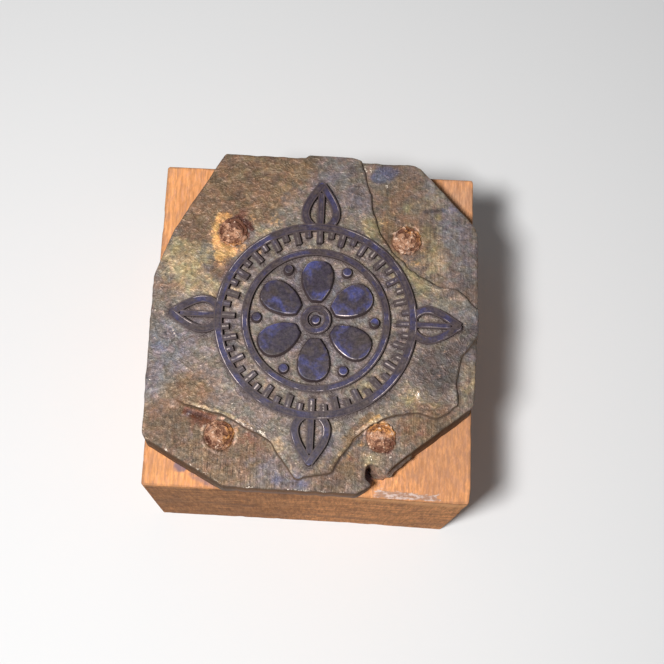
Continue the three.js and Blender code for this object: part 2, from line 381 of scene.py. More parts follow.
def petalOutline():
    o = ornament
    length = o["petalTip"] - o["petalRoot"]
    side, root = o["petalWidth"] / 2, o["petalRootWidth"] / 2
    p = np.array([[o["petalRoot"], root], [o["petalRoot"] + 0.35 * length, 1.1 * side],
                  [o["petalRoot"] + 1.02 * length, 1.15 * side], [o["petalTip"], 0]])
    half = bezier(p, 24)
    return anticlockwise(resample(np.vstack([half, (half * (1, -1))[::-1][1:]]), 0.12, closed=True))


def bezier(p, steps):
    t = np.linspace(0, 1, steps + 1)[:, None]
    return (1 - t) ** 3 * p[0] + 3 * (1 - t) ** 2 * t * p[1] + 3 * (1 - t) * t ** 2 * p[2] + t ** 3 * p[3]


def leafSide():  # middle of the line along one side of a leaf
    o = ornament
    root, tip = o["outerRing"] - o["outerLine"] / 2, o["leafTip"] - o["leafLine"] * 0.8
    length, side = tip - root, (o["leafWidth"] - o["leafLine"]) / 2
    return np.array([[root, 0.35 * side], [root + 0.3 * length, 1.35 * side],
                     [root + 0.72 * length, 0.4 * side], [tip, 0]])


def gapToOrnament(points):  # distance to the nearest raised line, below zero on it
    o = ornament
    local = points - o["centre"]
    radius = np.linalg.norm(local, axis=1)
    gaps = [np.abs(radius - o["outerRing"] + o["outerLine"] / 2) - o["outerLine"] / 2,
            np.abs(radius - o["innerRing"] + o["innerLine"] / 2) - o["innerLine"] / 2,
            np.abs(radius - o["eyeRing"] + o["eyeLine"] / 2) - o["eyeLine"] / 2,
            radius - o["eyeDot"]]
    angle = np.arctan2(local[:, 1], local[:, 0])

    def folded(count, offset=0.0):  # the same points, turned into the first copy's share of the circle
        step = 2 * math.pi / count
        a = (angle - offset * step + step / 2) % step - step / 2
        return np.c_[radius * np.cos(a), radius * np.sin(a)]

    tickEnd = o["outerRing"] - o["outerLine"]
    for length, offset in ((o["longTick"], 0), (o["shortTick"], 0.5)):
        bar = np.array([[tickEnd - length, 0], [tickEnd, 0]])
        gaps.append(distanceToPath(folded(o["tickCount"] // 2, offset), bar) - o["tickWidth"] / 2)
    local = folded(o["petalCount"], 0.5)
    outline = petalOutline()
    gap = distanceToPath(local, outline[::2], closed=True)
    gaps.append(np.where(insideLoop(local, outline[::2]), -gap, gap))
    local = folded(o["petalCount"])
    gaps.append(np.linalg.norm(local - (o["beadCircle"], 0), axis=1) - o["beadRadius"])
    local = folded(o["leafCount"])
    side = bezier(leafSide(), 16)
    gaps.append(distanceToPath(np.abs(local), side) - o["leafLine"] / 2)
    rib = np.array([[o["outerRing"], 0], [o["ribEnd"], 0]])
    gaps.append(distanceToPath(local, rib) - o["ribLine"] / 2)
    return np.min(gaps, axis=0)


# Zones of the plate

def raggedPath(corners):
    path = resample(smoothPath(corners, 6), 0.16)
    side = outwardNormals(path)
    side[[0, -1]] = 0
    return path + side * uneven(path, plate["borderRagged"])[:, None]


plateOutline = anticlockwise(np.array(plate["outline"], float))
borders = [raggedPath(plate[name]) for name in ("backBorder", "frontBorder")]
zones = [np.vstack([border, plate[name]]) for border, name in zip(borders, ("backClosing", "frontClosing"))]


def routedDepth(points):  # how far a point is past a routed border, below zero in the field
    past = np.full(len(points), -9.0)
    for border, zone in zip(borders, zones):
        gap = distanceToPath(points, border)
        past = np.maximum(past, np.where(insideLoop(points, zone), gap, -gap))
    return past


def stepDown(points, past):  # 0 in the field, 1 in a routed corner; the front step runs out at the left
    sharp, soft = smoothStep(-0.04, 0.05, past), smoothStep(-0.9, 0.9, past)
    fade = smoothStep(-9.8, -11.6, points[:, 0]) * (points[:, 1] < 0)
    return sharp + (soft - sharp) * fade


def plateHeight(points):
    past = routedDepth(points)
    edgeGap = distanceToPath(points, plateOutline, closed=True)
    down = stepDown(points, past)
    z = typeHeight - plate["etched"] + (plate["etched"] - plate["routed"]) * down
    z += uneven(points, plate["swell"]) * (1 - down) + uneven(points, plate["grain"])
    cornerShares = smoothStep(2, -1, points[:, 1]), points[:, 1] > 2
    for (across, distance, sway), share in zip(plate["cutterMarks"], cornerShares):
        ridges = np.sin((points @ np.array(across) + uneven(points, sway)) * 2 * math.pi / distance)
        z += plate["cutterDepth"] * ridges * down * share
    z += plate["lineFoot"] * smoothStep(0.28, 0.0, gapToOrnament(points))
    z -= plate["edgeFall"] * smoothStep(1.2, 0.1, edgeGap) * (0.6 + 0.4 * roughness(points, 1.5, 31, 2))
    z -= plate["gougeDepth"] * marks(points, plate["gouge"]) * (0.75 + 0.25 * roughness(points, 0.5, 33, 2))
    lip = smoothStep(0.25, 0.05, np.abs(past + 0.12)) * smoothStep(0.1, 0.8, roughness(points, 2.0, 35, 2))
    return z + plate["lipHeight"] * lip


def plateSurface(points):  # the floor with the nails' pockets
    z = plateHeight(points)
    for name, place in nailPlaces.items():
        away = awayFrom(points, place)
        pocket = smoothStep(*plate["pocketEdge"], away + uneven(points, plate["pocketRagged"]))
        z = np.where(away < 2.2, nailSeat(name) + (z - nailSeat(name)) * pocket, z)
    return z


def nailSeat(name):  # height of the underside of a nail's head
    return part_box(name)[1][2] / mm - nails["headThickness"]


nails = {
    "headRadius": 1.24,
    "headThickness": 0.5,
    "headRim": 0.2,
    "grooveDepth": 0.12,
    "grooveAt": 0.78,  # share of the head's radius, as is its width
    "grooveWidth": 0.07,
    "shankRadius": 0.55,
    "length": 12.7,
    "pointLength": 1.7,
    "tipRadius": 0.1,
    "around": 110,
    "crust": 0.36,
    "grit": 0.025,
}
nailRustAndShade = {  # direction in degrees and strength of the orange and of the dark side, then the tone; the back left nail's dark side, away from the lamp, is painted shade as well as dark rust
    "nail_back_left": ((250, 0.5), (60, 1.5), 0.92),
    "nail_back_right": ((45, 0.8), (-15, 0.3), 0.82),
    "nail_front_left": ((5, 1.0), (230, 0.8), 0.84),
    "nail_front_right": ((75, 1.7), (-75, 1.1), 0.95),
}


# The plate's mesh

def plateEdge():  # the sawn outline, its outward directions, and how blunt it is
    edge = resample(plateOutline, plate["edgeStep"], closed=True)
    for _ in range(2):  # soften the corners so that the inset loops don't cross
        edge = (np.roll(edge, 1, axis=0) + 2 * edge + np.roll(edge, -1, axis=0)) / 4
    normal = outwardNormals(edge)
    edge = edge + normal * (uneven(edge, plate["edgeRagged"]) - plate["footRound"])[:, None]
    tips = [smoothStep(0.1, 0.7, awayFrom(edge, tip)) for tip in plate["tips"]]
    return edge, normal, 0.15 + 0.85 * np.min(tips, axis=0)


def sideLean(edge, normal):
    lean = np.full(len(edge), plate["lean"])
    for facing, start, wanted in plate["chamferLean"]:
        chamfer = smoothStep(0.9, 0.97, normal @ np.array(facing))
        lean += (wanted - plate["lean"]) * evened(chamfer * smoothStep(start, start + 2, np.abs(edge[:, 0])))
    return lean


def tornMetal(edge, name):  # how far it stands out beside a path on the outline
    near = smoothStep(0.4, 0.1, distanceToPath(edge, np.array(plate[name])))
    return near * plate[name + "Width"] * (1 + 0.4 * roughness(edge, 0.5, 43, 2))


def loosePoints(inner):  # points of the top inside its edge
    step = plate["gridStep"]
    low, high = plateOutline.min(axis=0), plateOutline.max(axis=0)
    columns, rows = np.arange(low[0], high[0], step), np.arange(low[1], high[1], step * 0.866)
    x, y = np.meshgrid(columns, rows)
    x[1::2] += step / 2
    grid = np.c_[x.ravel(), y.ravel()]
    grid += np.random.default_rng(7).uniform(-0.2, 0.2, grid.shape) * step
    keep = np.ones(len(grid), bool)
    extra = []
    for border in borders:
        keep &= distanceToPath(grid, border) > 0.31
        path = resample(border, plate["borderStep"])
        extra += [path + outwardNormals(path) * gap for gap in plate["borderRows"]]
    for place in nailPlaces.values():
        away = awayFrom(grid, place)
        keep &= (away > 1.56) | ((away < 1.0) & (away > 0.7))
        extra += [ringPoints(place, radius, 60) for radius in plate["pocketRows"]]
    loose = np.vstack([grid[keep], *extra])
    keep = insideLoop(loose, inner) & (distanceToPath(loose, inner[::2], closed=True) > 0.07)
    for place in nailPlaces.values():
        keep &= awayFrom(loose, place) > plate["boreRadius"] + 0.05
    return loose[keep]


def makePlate():
    edge, normal, blunt = plateEdge()
    lean, edgeRound = sideLean(edge, normal) * blunt, plate["edgeRound"] * blunt[:, None]
    ledge, slump = [tornMetal(edge, name) for name in ("ledge", "slump")]
    slump *= smoothStep(0.15, 0.6, awayFrom(edge, plate["slumpEnd"]))
    upper = edge - normal * lean[:, None]
    inner, half = upper - normal * edgeRound, upper - normal * edgeRound * 0.35
    holes = [ringPoints(place, plate["boreRadius"], 24) for place in nailPlaces.values()]
    built = Builder()
    flat, faces = triangulate([inner, *holes], loosePoints(inner))
    built.add(np.c_[flat, plateSurface(flat)], faces)

    edgeTop, drop = plateSurface(inner), plate["edgeRound"]
    low, footHeight = np.full(len(edge), blockTop), plate["footHeight"]
    undercut = evened(plate["undercut"] * blunt * smoothStep(0.8, 0.98, -normal[:, 1]))
    foot = edge + normal * (slump - plate["footRound"] * blunt - undercut)[:, None]
    rows = [np.c_[foot, low], np.c_[edge + normal * (slump - undercut)[:, None], low + footHeight]]
    for share in plate["sideRows"]:
        z = low + footHeight + (edgeTop - drop - low - footHeight) * share
        place = np.c_[edge, z]
        out = uneven(place, plate["sideRough"]) - 0.02 - lean * share - undercut * (1 - share)
        out += slump * (1 - share ** 3) * (1 + uneven(place, plate["sideCrumbs"]))
        out += ledge * smoothStep(0.2, 0.4, share) * smoothStep(0.62, 0.56, share)
        rows.append(np.c_[edge + normal * out[:, None], z])
    rows += [np.c_[upper, edgeTop - drop], np.c_[half, edgeTop - drop * 0.3], np.c_[inner, edgeTop]]
    built.strip(rows)
    flat, faces = triangulate([foot, *holes], [])
    built.level(flat, blockTop, faces[:, ::-1])
    for hole in holes:
        built.strip([np.c_[hole, plateSurface(hole)], np.c_[hole, np.full(len(hole), blockTop)]])
    return built.finish("printing_plate_worn")


plateSpots = {  # soft round spots, each (x, y, radius, strength)
    "pale": [(-11.4, 4.4, 1.8, 0.85), (-9.6, 2.0, 1.7, 0.5), (-7.4, 2.2, 1.4, 0.25), (-3.0, 11.3, 1.2, 0.5),
        (-4.6, 7.4, 0.9, 0.5), (10.2, 11.6, 1.6, 0.6), (9.9, 5.6, 1.6, 0.5), (8.6, -6.2, 1.2, 0.5),
        (-2.6, -10.8, 0.9, 0.6), (5.2, -11.6, 1.0, 0.5), (13.2, -4.6, 1.3, 0.35), (0.5, 0.0, 2.5, 0.3),
        (12.8, 2.6, 1.6, 0.3), (10.6, 6.4, 1.8, 0.3), (-4.6, -5.4, 1.8, 0.5), (4.8, -5.6, 1.8, 0.5),
        (-6.6, 2.2, 1.4, 0.3), (6.6, 2.4, 1.4, 0.3), (0.2, 6.4, 1.4, 0.25)],
    "brown": [(-8.2, 4.0, 1.2, 0.5), (-5.8, 12.4, 3.6, 1.0), (-8.6, 9.8, 2.4, 0.8), (-10.6, 6.8, 1.6, 0.6),
        (-11.0, -9.2, 2.8, 0.9), (-7.0, -12.6, 2.8, 0.8), (-1.4, 13.4, 1.8, 0.7), (-5.2, 9.6, 1.6, 0.6),
        (-9.6, -6.6, 1.8, 0.7), (-4.0, -11.6, 1.8, 0.7), (-12.2, 2.0, 1.4, 0.5), (8.8, -9.2, 1.6, 0.75),
        (11.2, -8.6, 1.5, 0.4), (8.8, -7.6, 1.6, 0.45), (-11.0, -9.6, 1.6, 0.4), (3.4, -12.4, 1.6, 0.75),
        (1.6, -13.6, 1.6, 0.6), (5.6, 10.2, 1.8, 0.4), (8.6, 7.6, 2.0, 0.8), (6.0, 8.0, 1.0, 0.5),
        (7.4, 12.2, 1.8, 0.5), (6.2, 7.3, 0.9, 0.6), (-7.6, 3.9, 1.1, 0.6), (-10.2, 7.8, 1.8, 0.4),
        (10.8, -7.2, 1.2, 0.4)],
    "cold": [(11.2, 10.4, 2.0, 0.45), (9.6, 12.4, 1.2, 0.45), (-11.8, -2.6, 2.5, 1.0),
        (-12.9, -6.4, 1.2, 0.8), (0.4, 0.2, 3.8, 0.8), (13.4, 0.4, 1.6, 0.8), (12.0, 8.0, 2.4, 0.6),
        (12.6, 4.6, 2.0, 0.5), (11.0, -4.2, 1.8, 0.6), (13.2, -2.4, 0.9, 0.6), (-3.2, -12.8, 1.7, 0.6),
        (1.0, 12.6, 2.2, 0.6), (3.6, 10.4, 1.4, 0.6), (-2.0, 3.4, 3.4, 0.45), (3.2, -3.4, 3.2, 0.35),
        (1.6, -10.6, 1.4, 0.5), (-5.0, -4.0, 2.4, 0.3), (10.0, -10.0, 1.0, 0.25)],
    "dark": [(9.8, -4.2, 2.2, 0.45), (10.8, -3.9, 1.6, 0.4), (2.2, -13.5, 1.6, 0.55),
        (-11.0, -9.8, 2.8, 0.46), (-6.0, -12.0, 2.8, 0.32), (10.4, -8.4, 2.0, 0.2), (-6.6, 12.6, 2.4, 0.12),
        (10.6, -5.0, 1.0, 0.6), (10.2, -3.4, 1.2, 0.7), (11.8, -2.2, 1.0, 0.6), (13.6, -0.8, 1.3, 1.0),
        (12.9, 3.6, 1.2, 0.6), (13.4, 6.4, 1.0, 0.4), (-13.2, -0.8, 1.0, 0.5), (2.9, 13.4, 0.9, 0.6),
        (3.0, 11.6, 0.8, 0.5), (5.0, -13.4, 0.8, 0.5), (11.6, -4.4, 0.7, 0.4), (-13.2, -5.6, 0.9, 0.4),
        (11.0, -9.0, 0.8, 0.4), (7.2, 13.6, 0.7, 0.4), (-0.6, 14.2, 0.8, 0.5)],
    "wormy": [(-8.2, 5.8, 1.2, 0.5), (-5.6, 3.2, 2.6, 0.5), (-8.6, 1.4, 2.0, 0.4), (-3.8, 9.4, 2.2, 0.5),
        (-11.2, 3.6, 1.6, 0.4), (-1.8, 12.4, 1.6, 0.3), (-9.8, 9.2, 1.6, 0.3), (10.4, 10.8, 1.6, 0.3),
        (8.6, -6.4, 1.4, 0.3), (0.2, -0.3, 5.6, 0.25)],
    "combed": [(-9.0, -12.4, 1.4, 0.7), (-6.6, -13.0, 1.6, 1.0), (-4.2, -13.2, 1.4, 0.8),
        (-2.4, -13.4, 1.0, 0.5)],
    "olive": [(-5.4, 12.8, 2.0, 0.35), (-9.6, 4.6, 1.8, 0.4), (-11.6, 5.6, 1.2, 0.5), (4.4, 8.6, 0.9, 0.7),
        (4.9, 7.6, 0.8, 0.7), (6.2, 5.4, 1.1, 0.7), (7.4, 4.0, 1.1, 0.8), (8.8, 3.2, 1.1, 0.7),
        (10.6, 2.6, 0.9, 0.4), (7.5, 10.3, 0.45, 0.8), (10.3, 9.6, 0.4, 0.9), (9.6, 8.0, 1.2, 0.6),
        (9.8, 6.4, 0.8, 0.45), (8.0, -7.0, 1.2, 0.5), (10.6, -6.8, 0.9, 0.4), (12.8, -5.6, 0.8, 0.5),
        (-10.4, 3.0, 1.0, 0.4), (-4.0, 7.0, 1.2, 0.4), (-9.4, -9.9, 1.4, 0.3)],
    "ochre": [(-8.3, 8.4, 0.4, 0.9), (-7.7, 8.6, 0.35, 0.8), (-8.65, 7.7, 0.3, 0.7), (-8.7, 7.0, 0.35, 0.6),
        (-8.6, 6.2, 0.35, 0.8), (-8.2, 5.7, 0.45, 1.0), (-7.6, 5.4, 0.4, 1.2), (-7.0, 5.3, 0.4, 0.9),
        (-8.2, 4.9, 0.5, 0.7), (-7.8, 4.3, 0.5, 0.3), (-8.4, 6.5, 0.3, 0.9), (-7.9, 5.9, 0.3, 0.9),
        (-7.3, 5.7, 0.3, 0.8), (-8.5, 7.4, 0.25, 0.7), (-8.1, 8.2, 0.3, 0.7), (-6.1, 5.5, 0.4, 0.6),
        (-5.4, 5.9, 0.45, 0.6), (-4.8, 5.6, 0.45, 0.45), (-5.6, 8.5, 0.4, 0.3), (-3.6, 8.4, 0.6, 0.35),
        (5.6, 8.8, 0.5, 0.3), (8.0, 5.5, 0.6, 0.25), (8.8, 5.1, 0.6, 0.2), (4.4, -10.3, 0.35, 0.6),
        (6.1, -8.7, 0.5, 0.7), (-5.8, -9.8, 0.4, 0.7), (3.3, -11.4, 0.4, 0.3), (8.4, -6.0, 0.8, 0.25)],
    "rust": [(-5.0, -10.2, 0.8, 0.35), (-4.0, -11.2, 0.8, 0.2), (-6.6, 8.6, 0.5, 0.7),
        (-6.4, 9.2, 0.35, 0.4), (-5.8, 7.9, 0.5, 0.5), (-7.0, 3.9, 0.5, 0.4), (7.6, 7.2, 1.5, 0.5),
        (-7.1, -9.9, 1.5, 0.6), (-9.4, -9.2, 0.6, 0.5), (-8.4, -9.1, 0.5, 0.9), (8.2, -8.9, 0.5, 0.5),
        (9.3, -9.2, 0.5, 0.3), (6.0, -9.8, 1.4, 0.55), (3.6, -11.6, 0.4, 0.5), (-3.6, -11.0, 0.6, 0.2)],
    "blue": [(5.6, 13.4, 0.9, 0.9), (4.9, 12.8, 0.6, 0.7), (6.6, 13.5, 0.5, 0.5), (-0.3, -13.9, 0.9, 0.5),
        (-1.5, -13.8, 0.8, 0.45), (-2.6, -13.5, 0.7, 0.35), (-12.6, -3.0, 0.8, 0.45),
        (-10.9, -4.0, 0.7, 0.3), (-9.8, -8.4, 0.4, 0.4), (11.2, 10.5, 0.5, 0.3), (1.2, -9.8, 0.8, 0.25)],
}
plateStreaks = {  # soft streaks, each (x, y, x, y, half width, strength)
    # the pale streaks run along the lip of the front border: a painted highlight on pale metal
    "pale": [(5.1, -8.75, 3.95, -9.8, 0.14, 0.9), (3.95, -9.8, 2.95, -11.0, 0.12, 0.9),
        (2.95, -11.0, 2.1, -12.2, 0.1, 0.7), (-9.6, -7.75, -8.2, -8.05, 0.12, 0.6),
        (-7.6, -8.15, -6.0, -8.75, 0.14, 0.7), (-5.6, -8.95, -4.2, -9.55, 0.12, 0.6)],
    "blue": [(9.1, 10.0, 10.6, 10.3, 0.3, 0.25), (10.8, 10.5, 12.0, 10.3, 0.45, 0.25)],
    # most dark streaks run along the front border as painted shade below its step; the one from (9.2, 10.05)
    # is dark ink
    "dark": [(5.4, -8.9, 4.2, -9.9, 0.14, 0.7), (4.2, -9.9, 3.2, -11.1, 0.17, 0.9),
        (3.2, -11.1, 2.3, -12.4, 0.15, 0.8), (8.4, -7.75, 10.6, -8.05, 0.12, 0.5),
        (12.2, -4.4, 12.3, -6.6, 0.12, 0.5), (9.2, 10.05, 10.6, 10.3, 0.24, 0.9),
        (-8.6, -8.35, -8.2, -8.5, 0.12, 0.8), (-9.8, -8.25, -9.4, -8.45, 0.1, 0.6),
        (-5.0, -9.75, -3.9, -10.2, 0.12, 0.6), (-3.0, -10.75, -2.0, -12.2, 0.1, 0.6)],
    "ochre": [(4.3, -9.25, 5.1, -8.6, 0.14, 1.0), (5.1, -8.6, 5.7, -8.1, 0.2, 1.0),
        (-9.3, -7.85, -8.2, -8.15, 0.12, 0.5), (-8.2, 5.2, -6.0, 6.0, 0.25, 0.5)],
    "brown": [(2.2, -12.0, 5.2, -8.2, 0.35, 0.8), (3.0, -10.0, 5.0, -8.0, 0.3, 0.7),
        (-8.6, -9.2, -8.8, -11.0, 0.3, 0.5)],
    # the first four maroon streaks arc beside the back left nail's head: painted shadow of the head on dark
    # rust
    "maroon": [(-7.6, 8.25, -6.8, 8.4, 0.16, 1.0), (-6.8, 8.4, -6.0, 8.0, 0.25, 1.4),
        (-6.0, 8.0, -5.55, 7.5, 0.2, 1.1), (-5.8, 7.1, -5.75, 6.5, 0.12, 0.8),
        (-9.9, -8.25, -8.9, -8.55, 0.14, 1.0), (-8.9, -8.55, -7.9, -8.8, 0.12, 0.9),
        (6.5, -11.0, 6.9, -10.7, 0.2, 0.8), (-9.4, -8.7, -8.6, -9.0, 0.2, 0.45)],
    "rust": [(-10.0, -8.1, -7.6, -8.7, 0.16, 1.3), (-10.1, -8.4, -9.2, -8.7, 0.25, 0.8),
        (-9.2, -8.6, -7.8, -9.0, 0.28, 0.9), (4.9, -9.6, 5.2, -8.8, 0.15, 0.6)],
    # bright nicks of worn metal, with painted glints in clusters
    "freshAndGlint": [(-10.0, -7.85, -9.0, -8.0, 0.09, 0.6), (-8.9, -8.05, -8.2, -8.3, 0.1, 0.75),
        (-6.25, -7.6, -6.1, -8.1, 0.2, 0.55), (-6.0, -8.95, -5.2, -9.3, 0.09, 0.7),
        (-5.2, -9.3, -4.4, -9.65, 0.08, 0.5), (-4.1, -9.75, -3.6, -10.0, 0.17, 0.75),
        (-3.6, -10.0, -3.1, -10.5, 0.12, 0.6), (-2.1, -11.5, -1.9, -11.7, 0.1, 0.7),
        (8.3, -5.7, 8.9, -6.1, 0.26, 0.42), (8.9, -6.1, 9.0, -6.7, 0.2, 0.5),
        (3.8, 13.9, 4.0, 13.5, 0.14, 0.9), (4.3, 13.9, 4.4, 13.5, 0.12, 0.8),
        (5.6, 13.6, 5.9, 13.9, 0.08, 0.7), (5.8, 12.1, 5.85, 12.3, 0.1, 0.9),
        (4.7, -8.75, 5.5, -8.15, 0.07, 0.6), (6.75, -11.35, 6.85, -11.3, 0.09, 1.0),
        (4.4, -10.95, 4.9, -11.3, 0.08, 0.8), (5.2, -11.3, 5.3, -11.6, 0.1, 0.6),
        (-11.8, -1.3, -11.2, -2.2, 0.14, 0.5), (-12.6, -10.6, -12.3, -10.8, 0.12, 0.6),
        (-11.5, -8.1, -11.4, -8.15, 0.08, 0.7), (-10.75, -11.8, -10.7, -11.85, 0.08, 0.7),
        (-4.6, -12.1, -4.5, -12.15, 0.08, 0.7), (-5.7, -12.5, -5.6, -12.7, 0.08, 0.6),
        (12.2, 4.55, 12.3, 4.5, 0.07, 0.8), (10.65, 4.2, 10.7, 4.1, 0.07, 0.8),
        (11.05, 3.6, 11.2, 3.6, 0.08, 0.7), (8.2, 10.0, 8.3, 9.9, 0.07, 0.7),
        (-10.5, -4.5, -10.4, -4.6, 0.1, 0.6), (-13.1, -5.8, -13.1, -6.2, 0.08, 0.6),
        (9.4, 12.3, 9.9, 12.6, 0.05, 0.5), (10.2, 11.2, 10.6, 11.7, 0.05, 0.5),
        (9.6, 11.2, 9.9, 11.6, 0.05, 0.5), (-9.9, -8.5, -9.6, -8.6, 0.1, 0.5),
        (-8.9, -8.8, -8.7, -8.9, 0.1, 0.5), (-2.3, -0.1, -2.2, -0.2, 0.08, 0.7)],
}


def paintPlate(piece):
    points = pointsOf(piece)
    flat, z = points[:, :2], points[:, 2]
    facing = vectorsOf(piece, "normal")
    top = smoothStep(0.3, 0.75, facing[:, 2])
    past = routedDepth(flat)
    edgeGap = distanceToPath(flat, plateOutline, closed=True)
    reliefGap = gapToOrnament(flat)
    biteGap = awayFrom(flat, plate["biteCentre"])
    paint(piece, "routed", stepDown(flat, past))
    for name in {**plateSpots, **plateStreaks}:
        found = np.maximum(marks(flat, plateSpots.get(name, [])), marks(flat, plateStreaks.get(name, [])))
        paint(piece, name, found * top)

    # Grime and painted shade along the borders, at the foot of the raised lines and around the nails
    border = smoothStep(0.10, 0.02, np.abs(past - 0.01)) * (1 - marks(flat, plate["cleanUnshadedBorder"]))
    border *= smoothStep(-0.7, 0.2, roughness(flat, 1.1, 91, 3) + 0.2) * smoothStep(-12.0, -9.5, flat[:, 0])
    reach = awayFrom(flat, ornament["centre"])
    shade = 0.26 + 0.26 * smoothStep(-0.3, 0.5, roughness(flat, 1.6, 105, 3))
    shade *= 1 - 0.35 * smoothStep(8.0, 7.8, reach) * smoothStep(6.0, 6.2, reach)  # narrower at the ticks
    relief = np.clip(1 - reliefGap / shade, 0, 1) ** 0.6 * (1.0 + 0.35 * roughness(flat, 0.9, 97, 2))
    nailGap = np.min([np.abs(awayFrom(flat, place) - 1.26) for place in nailPlaces.values()], axis=0)
    nail = smoothStep(0.22, 0.05, nailGap) * smoothStep(-0.5, 0.5, roughness(flat, 0.8, 93, 2))
    paint(piece, "grime", np.clip(np.maximum.reduce([border * 0.85, relief, nail * 0.3]), 0, 1) * top)
    spread = smoothStep(1.0, 0.1, reliefGap) * smoothStep(-0.1, 0.5, roughness(flat, 1.8, 99, 3))
    paint(piece, "inkFilm", spread * top)

    # The sawn sides, darkened with painted shade as well as their own tarnish, browner at the front
    foot = smoothStep(typeHeight - 2.2, typeHeight - 3.3, z)
    paint(piece, "sawn", (1 - top) * (1 - 0.8 * smoothStep(1.35, 1.15, biteGap)) * (1 - 0.25 * foot))
    front = smoothStep(-0.92, -0.975, facing[:, 1]) * smoothStep(typeHeight - 1.0, typeHeight - 1.6, z)
    front *= smoothStep(-6.9, -4.5, flat[:, 0]) * smoothStep(5.2, 3.6, flat[:, 0])
    paint(piece, "brownWall", front * (0.8 - 0.35 * smoothStep(-0.5, 0.6, roughness(flat, 2.0, 107, 3))))

    # Bright lips and nicks, burnished and worn metal with painted highlights, and the pale crust around the
    # nails and on the torn metal
    lip = smoothStep(0.24, 0.08, np.abs(past + 0.12)) * marks(flat, plate["brightLip"])
    paint(piece, "lip", lip * smoothStep(-0.5, 0.3, roughness(flat, 0.8, 103, 3)) * top)
    around = np.max([np.exp(-((awayFrom(flat, nailPlaces[name]) - 1.4) / 0.14) ** 2) * strength
                     for name, strength in plate["paleRings"].items()], axis=0)
    around *= smoothStep(-0.25, 0.45, roughness(flat, 0.7, 101, 3)) * top
    torn = marks(flat, plate["tornWalls"]) * (1 - top)
    torn += 0.45 * marks(flat, plate["tornStrip"]) * smoothStep(21.7, 21.4, z) * smoothStep(20.4, 20.8, z)
    paint(piece, "crust", np.clip(np.maximum(around, torn), 0, 1))
    worn = roughness(flat, 0.5, 95, 2), roughness(flat, 0.6, 95, 2)
    nickGlints = np.maximum(0.75 * smoothStep(-0.3, 0.3, worn[0]) * smoothStep(0.32, 0.12, edgeGap),
                       marks(flat, plate["frontNickGlint"]) * smoothStep(-0.1, 0.2, worn[1]))
    paint(piece, "edgeNickGlint", nickGlints * smoothStep(-6.0, -9.0, flat[:, 1]) * smoothStep(1.5, 1.8, biteGap) * top)


plateObject = makePlate()
print("plate:", len(plateObject.data.vertices), "points", len(plateObject.data.polygons), "faces")


# Helpers for node trees

class Signal:  # a node's output that takes part in sums like a number
    def __init__(self, socket):
        self.socket = socket

    def __add__(self, other):
        return maths("ADD", self, other)

    def __sub__(self, other):
        return maths("SUBTRACT", self, other)

    def __rsub__(self, other):
        return maths("SUBTRACT", other, self)

    def __mul__(self, other):
        return maths("MULTIPLY", self, other)

    def __truediv__(self, other):
        return maths("DIVIDE", self, other)

    def __rtruediv__(self, other):
        return maths("DIVIDE", other, self)

    def __abs__(self):
        return maths("ABSOLUTE", self)

    def band(self, low, high, start=0.0, end=1.0):  # a soft step between two levels
        return signal(self.socket.id_data, "ShaderNodeMapRange", {0: self, 1: low, 2: high, 3: start, 4: end},
                      interpolation_type="SMOOTHSTEP")

    def axes(self):
        node = addNode(self.socket.id_data, "ShaderNodeSeparateXYZ", {0: self})
        return [Signal(output) for output in node.outputs]


def addNode(tree, kind, inputs=None, **settings):
    node = tree.nodes.new(kind)
    for key, value in settings.items():
        setattr(node, key, value)
    setInputs(tree, node, inputs or {})
    return node


def setInputs(tree, node, inputs):
    for key, value in inputs.items():
        if isinstance(value, Signal):
            tree.links.new(value.socket, node.inputs[key])
        else:
            node.inputs[key].default_value = value


def signal(tree, kind, inputs=None, output=0, **settings):
    return Signal(addNode(tree, kind, inputs, **settings).outputs[output])


def maths(operation, *values, **settings):
    tree = next(value.socket.id_data for value in values if isinstance(value, Signal))
    return signal(tree, "ShaderNodeMath", dict(enumerate(values)), operation=operation, **settings)


def vectorMaths(operation, vector, other=(0, 0, 0), scale=1.0, output=0):
    inputs = {0: vector, 1: other, 3: scale}
    return signal(vector.socket.id_data, "ShaderNodeVectorMath", inputs, output, operation=operation)


def lengthOf(vector):
    return vectorMaths("LENGTH", vector, output="Value")


def combined(tree, x=0.0, y=0.0, z=0.0):
    return signal(tree, "ShaderNodeCombineXYZ", {0: x, 1: y, 2: z})


def moved(tree, shape, offset):
    return signal(tree, "GeometryNodeSetPosition", {0: shape, "Offset": offset})


def marked(tree, shape, name, value):
    return signal(tree, "GeometryNodeStoreNamedAttribute", {0: shape, "Name": name, "Value": value},
                  data_type="FLOAT", domain="POINT")


def newTree(name, **inputs):  # a Geometry Nodes tree and its inputs, whose names are listed by kind
    tree = bpy.data.node_groups.new(name, "GeometryNodeTree")
    tree.interface.new_socket("Geometry", in_out="OUTPUT", socket_type="NodeSocketGeometry")
    for kind, labels in inputs.items():
        for label in labels:
            tree.interface.new_socket(label, in_out="INPUT", socket_type="NodeSocket" + kind)
    given = tree.nodes.new("NodeGroupInput").outputs
    return tree, {label: Signal(given[label]) for labels in inputs.values() for label in labels}


def closeTree(tree, geometry, material=None):  # a material makes this the end of a whole piece
    if material:
        real = signal(tree, "GeometryNodeRealizeInstances", {0: geometry})
        geometry = signal(tree, "GeometryNodeSetMaterial", {0: real, "Material": material})
    addNode(tree, "NodeGroupOutput", {0: geometry})
    return tree


def shapedBy(piece, tree, values):  # the tree's result becomes the piece's own plain mesh
    modifier = piece.modifiers.new(tree.name, "NODES")
    modifier.node_group = tree
    names = {item.name: item.identifier for item in tree.interface.items_tree if item.in_out == "INPUT"}
    for label, value in values.items():
        modifier[names[label]] = value
    graph = bpy.context.evaluated_depsgraph_get()
    mesh = bpy.data.meshes.new_from_object(piece.evaluated_get(graph), preserve_all_data_layers=True,
                                           depsgraph=graph)
    piece.modifiers.clear()
    piece.data = mesh
    return piece


# Geometry Nodes of the ornament: lines swept along curves, solid shapes turned about the centre

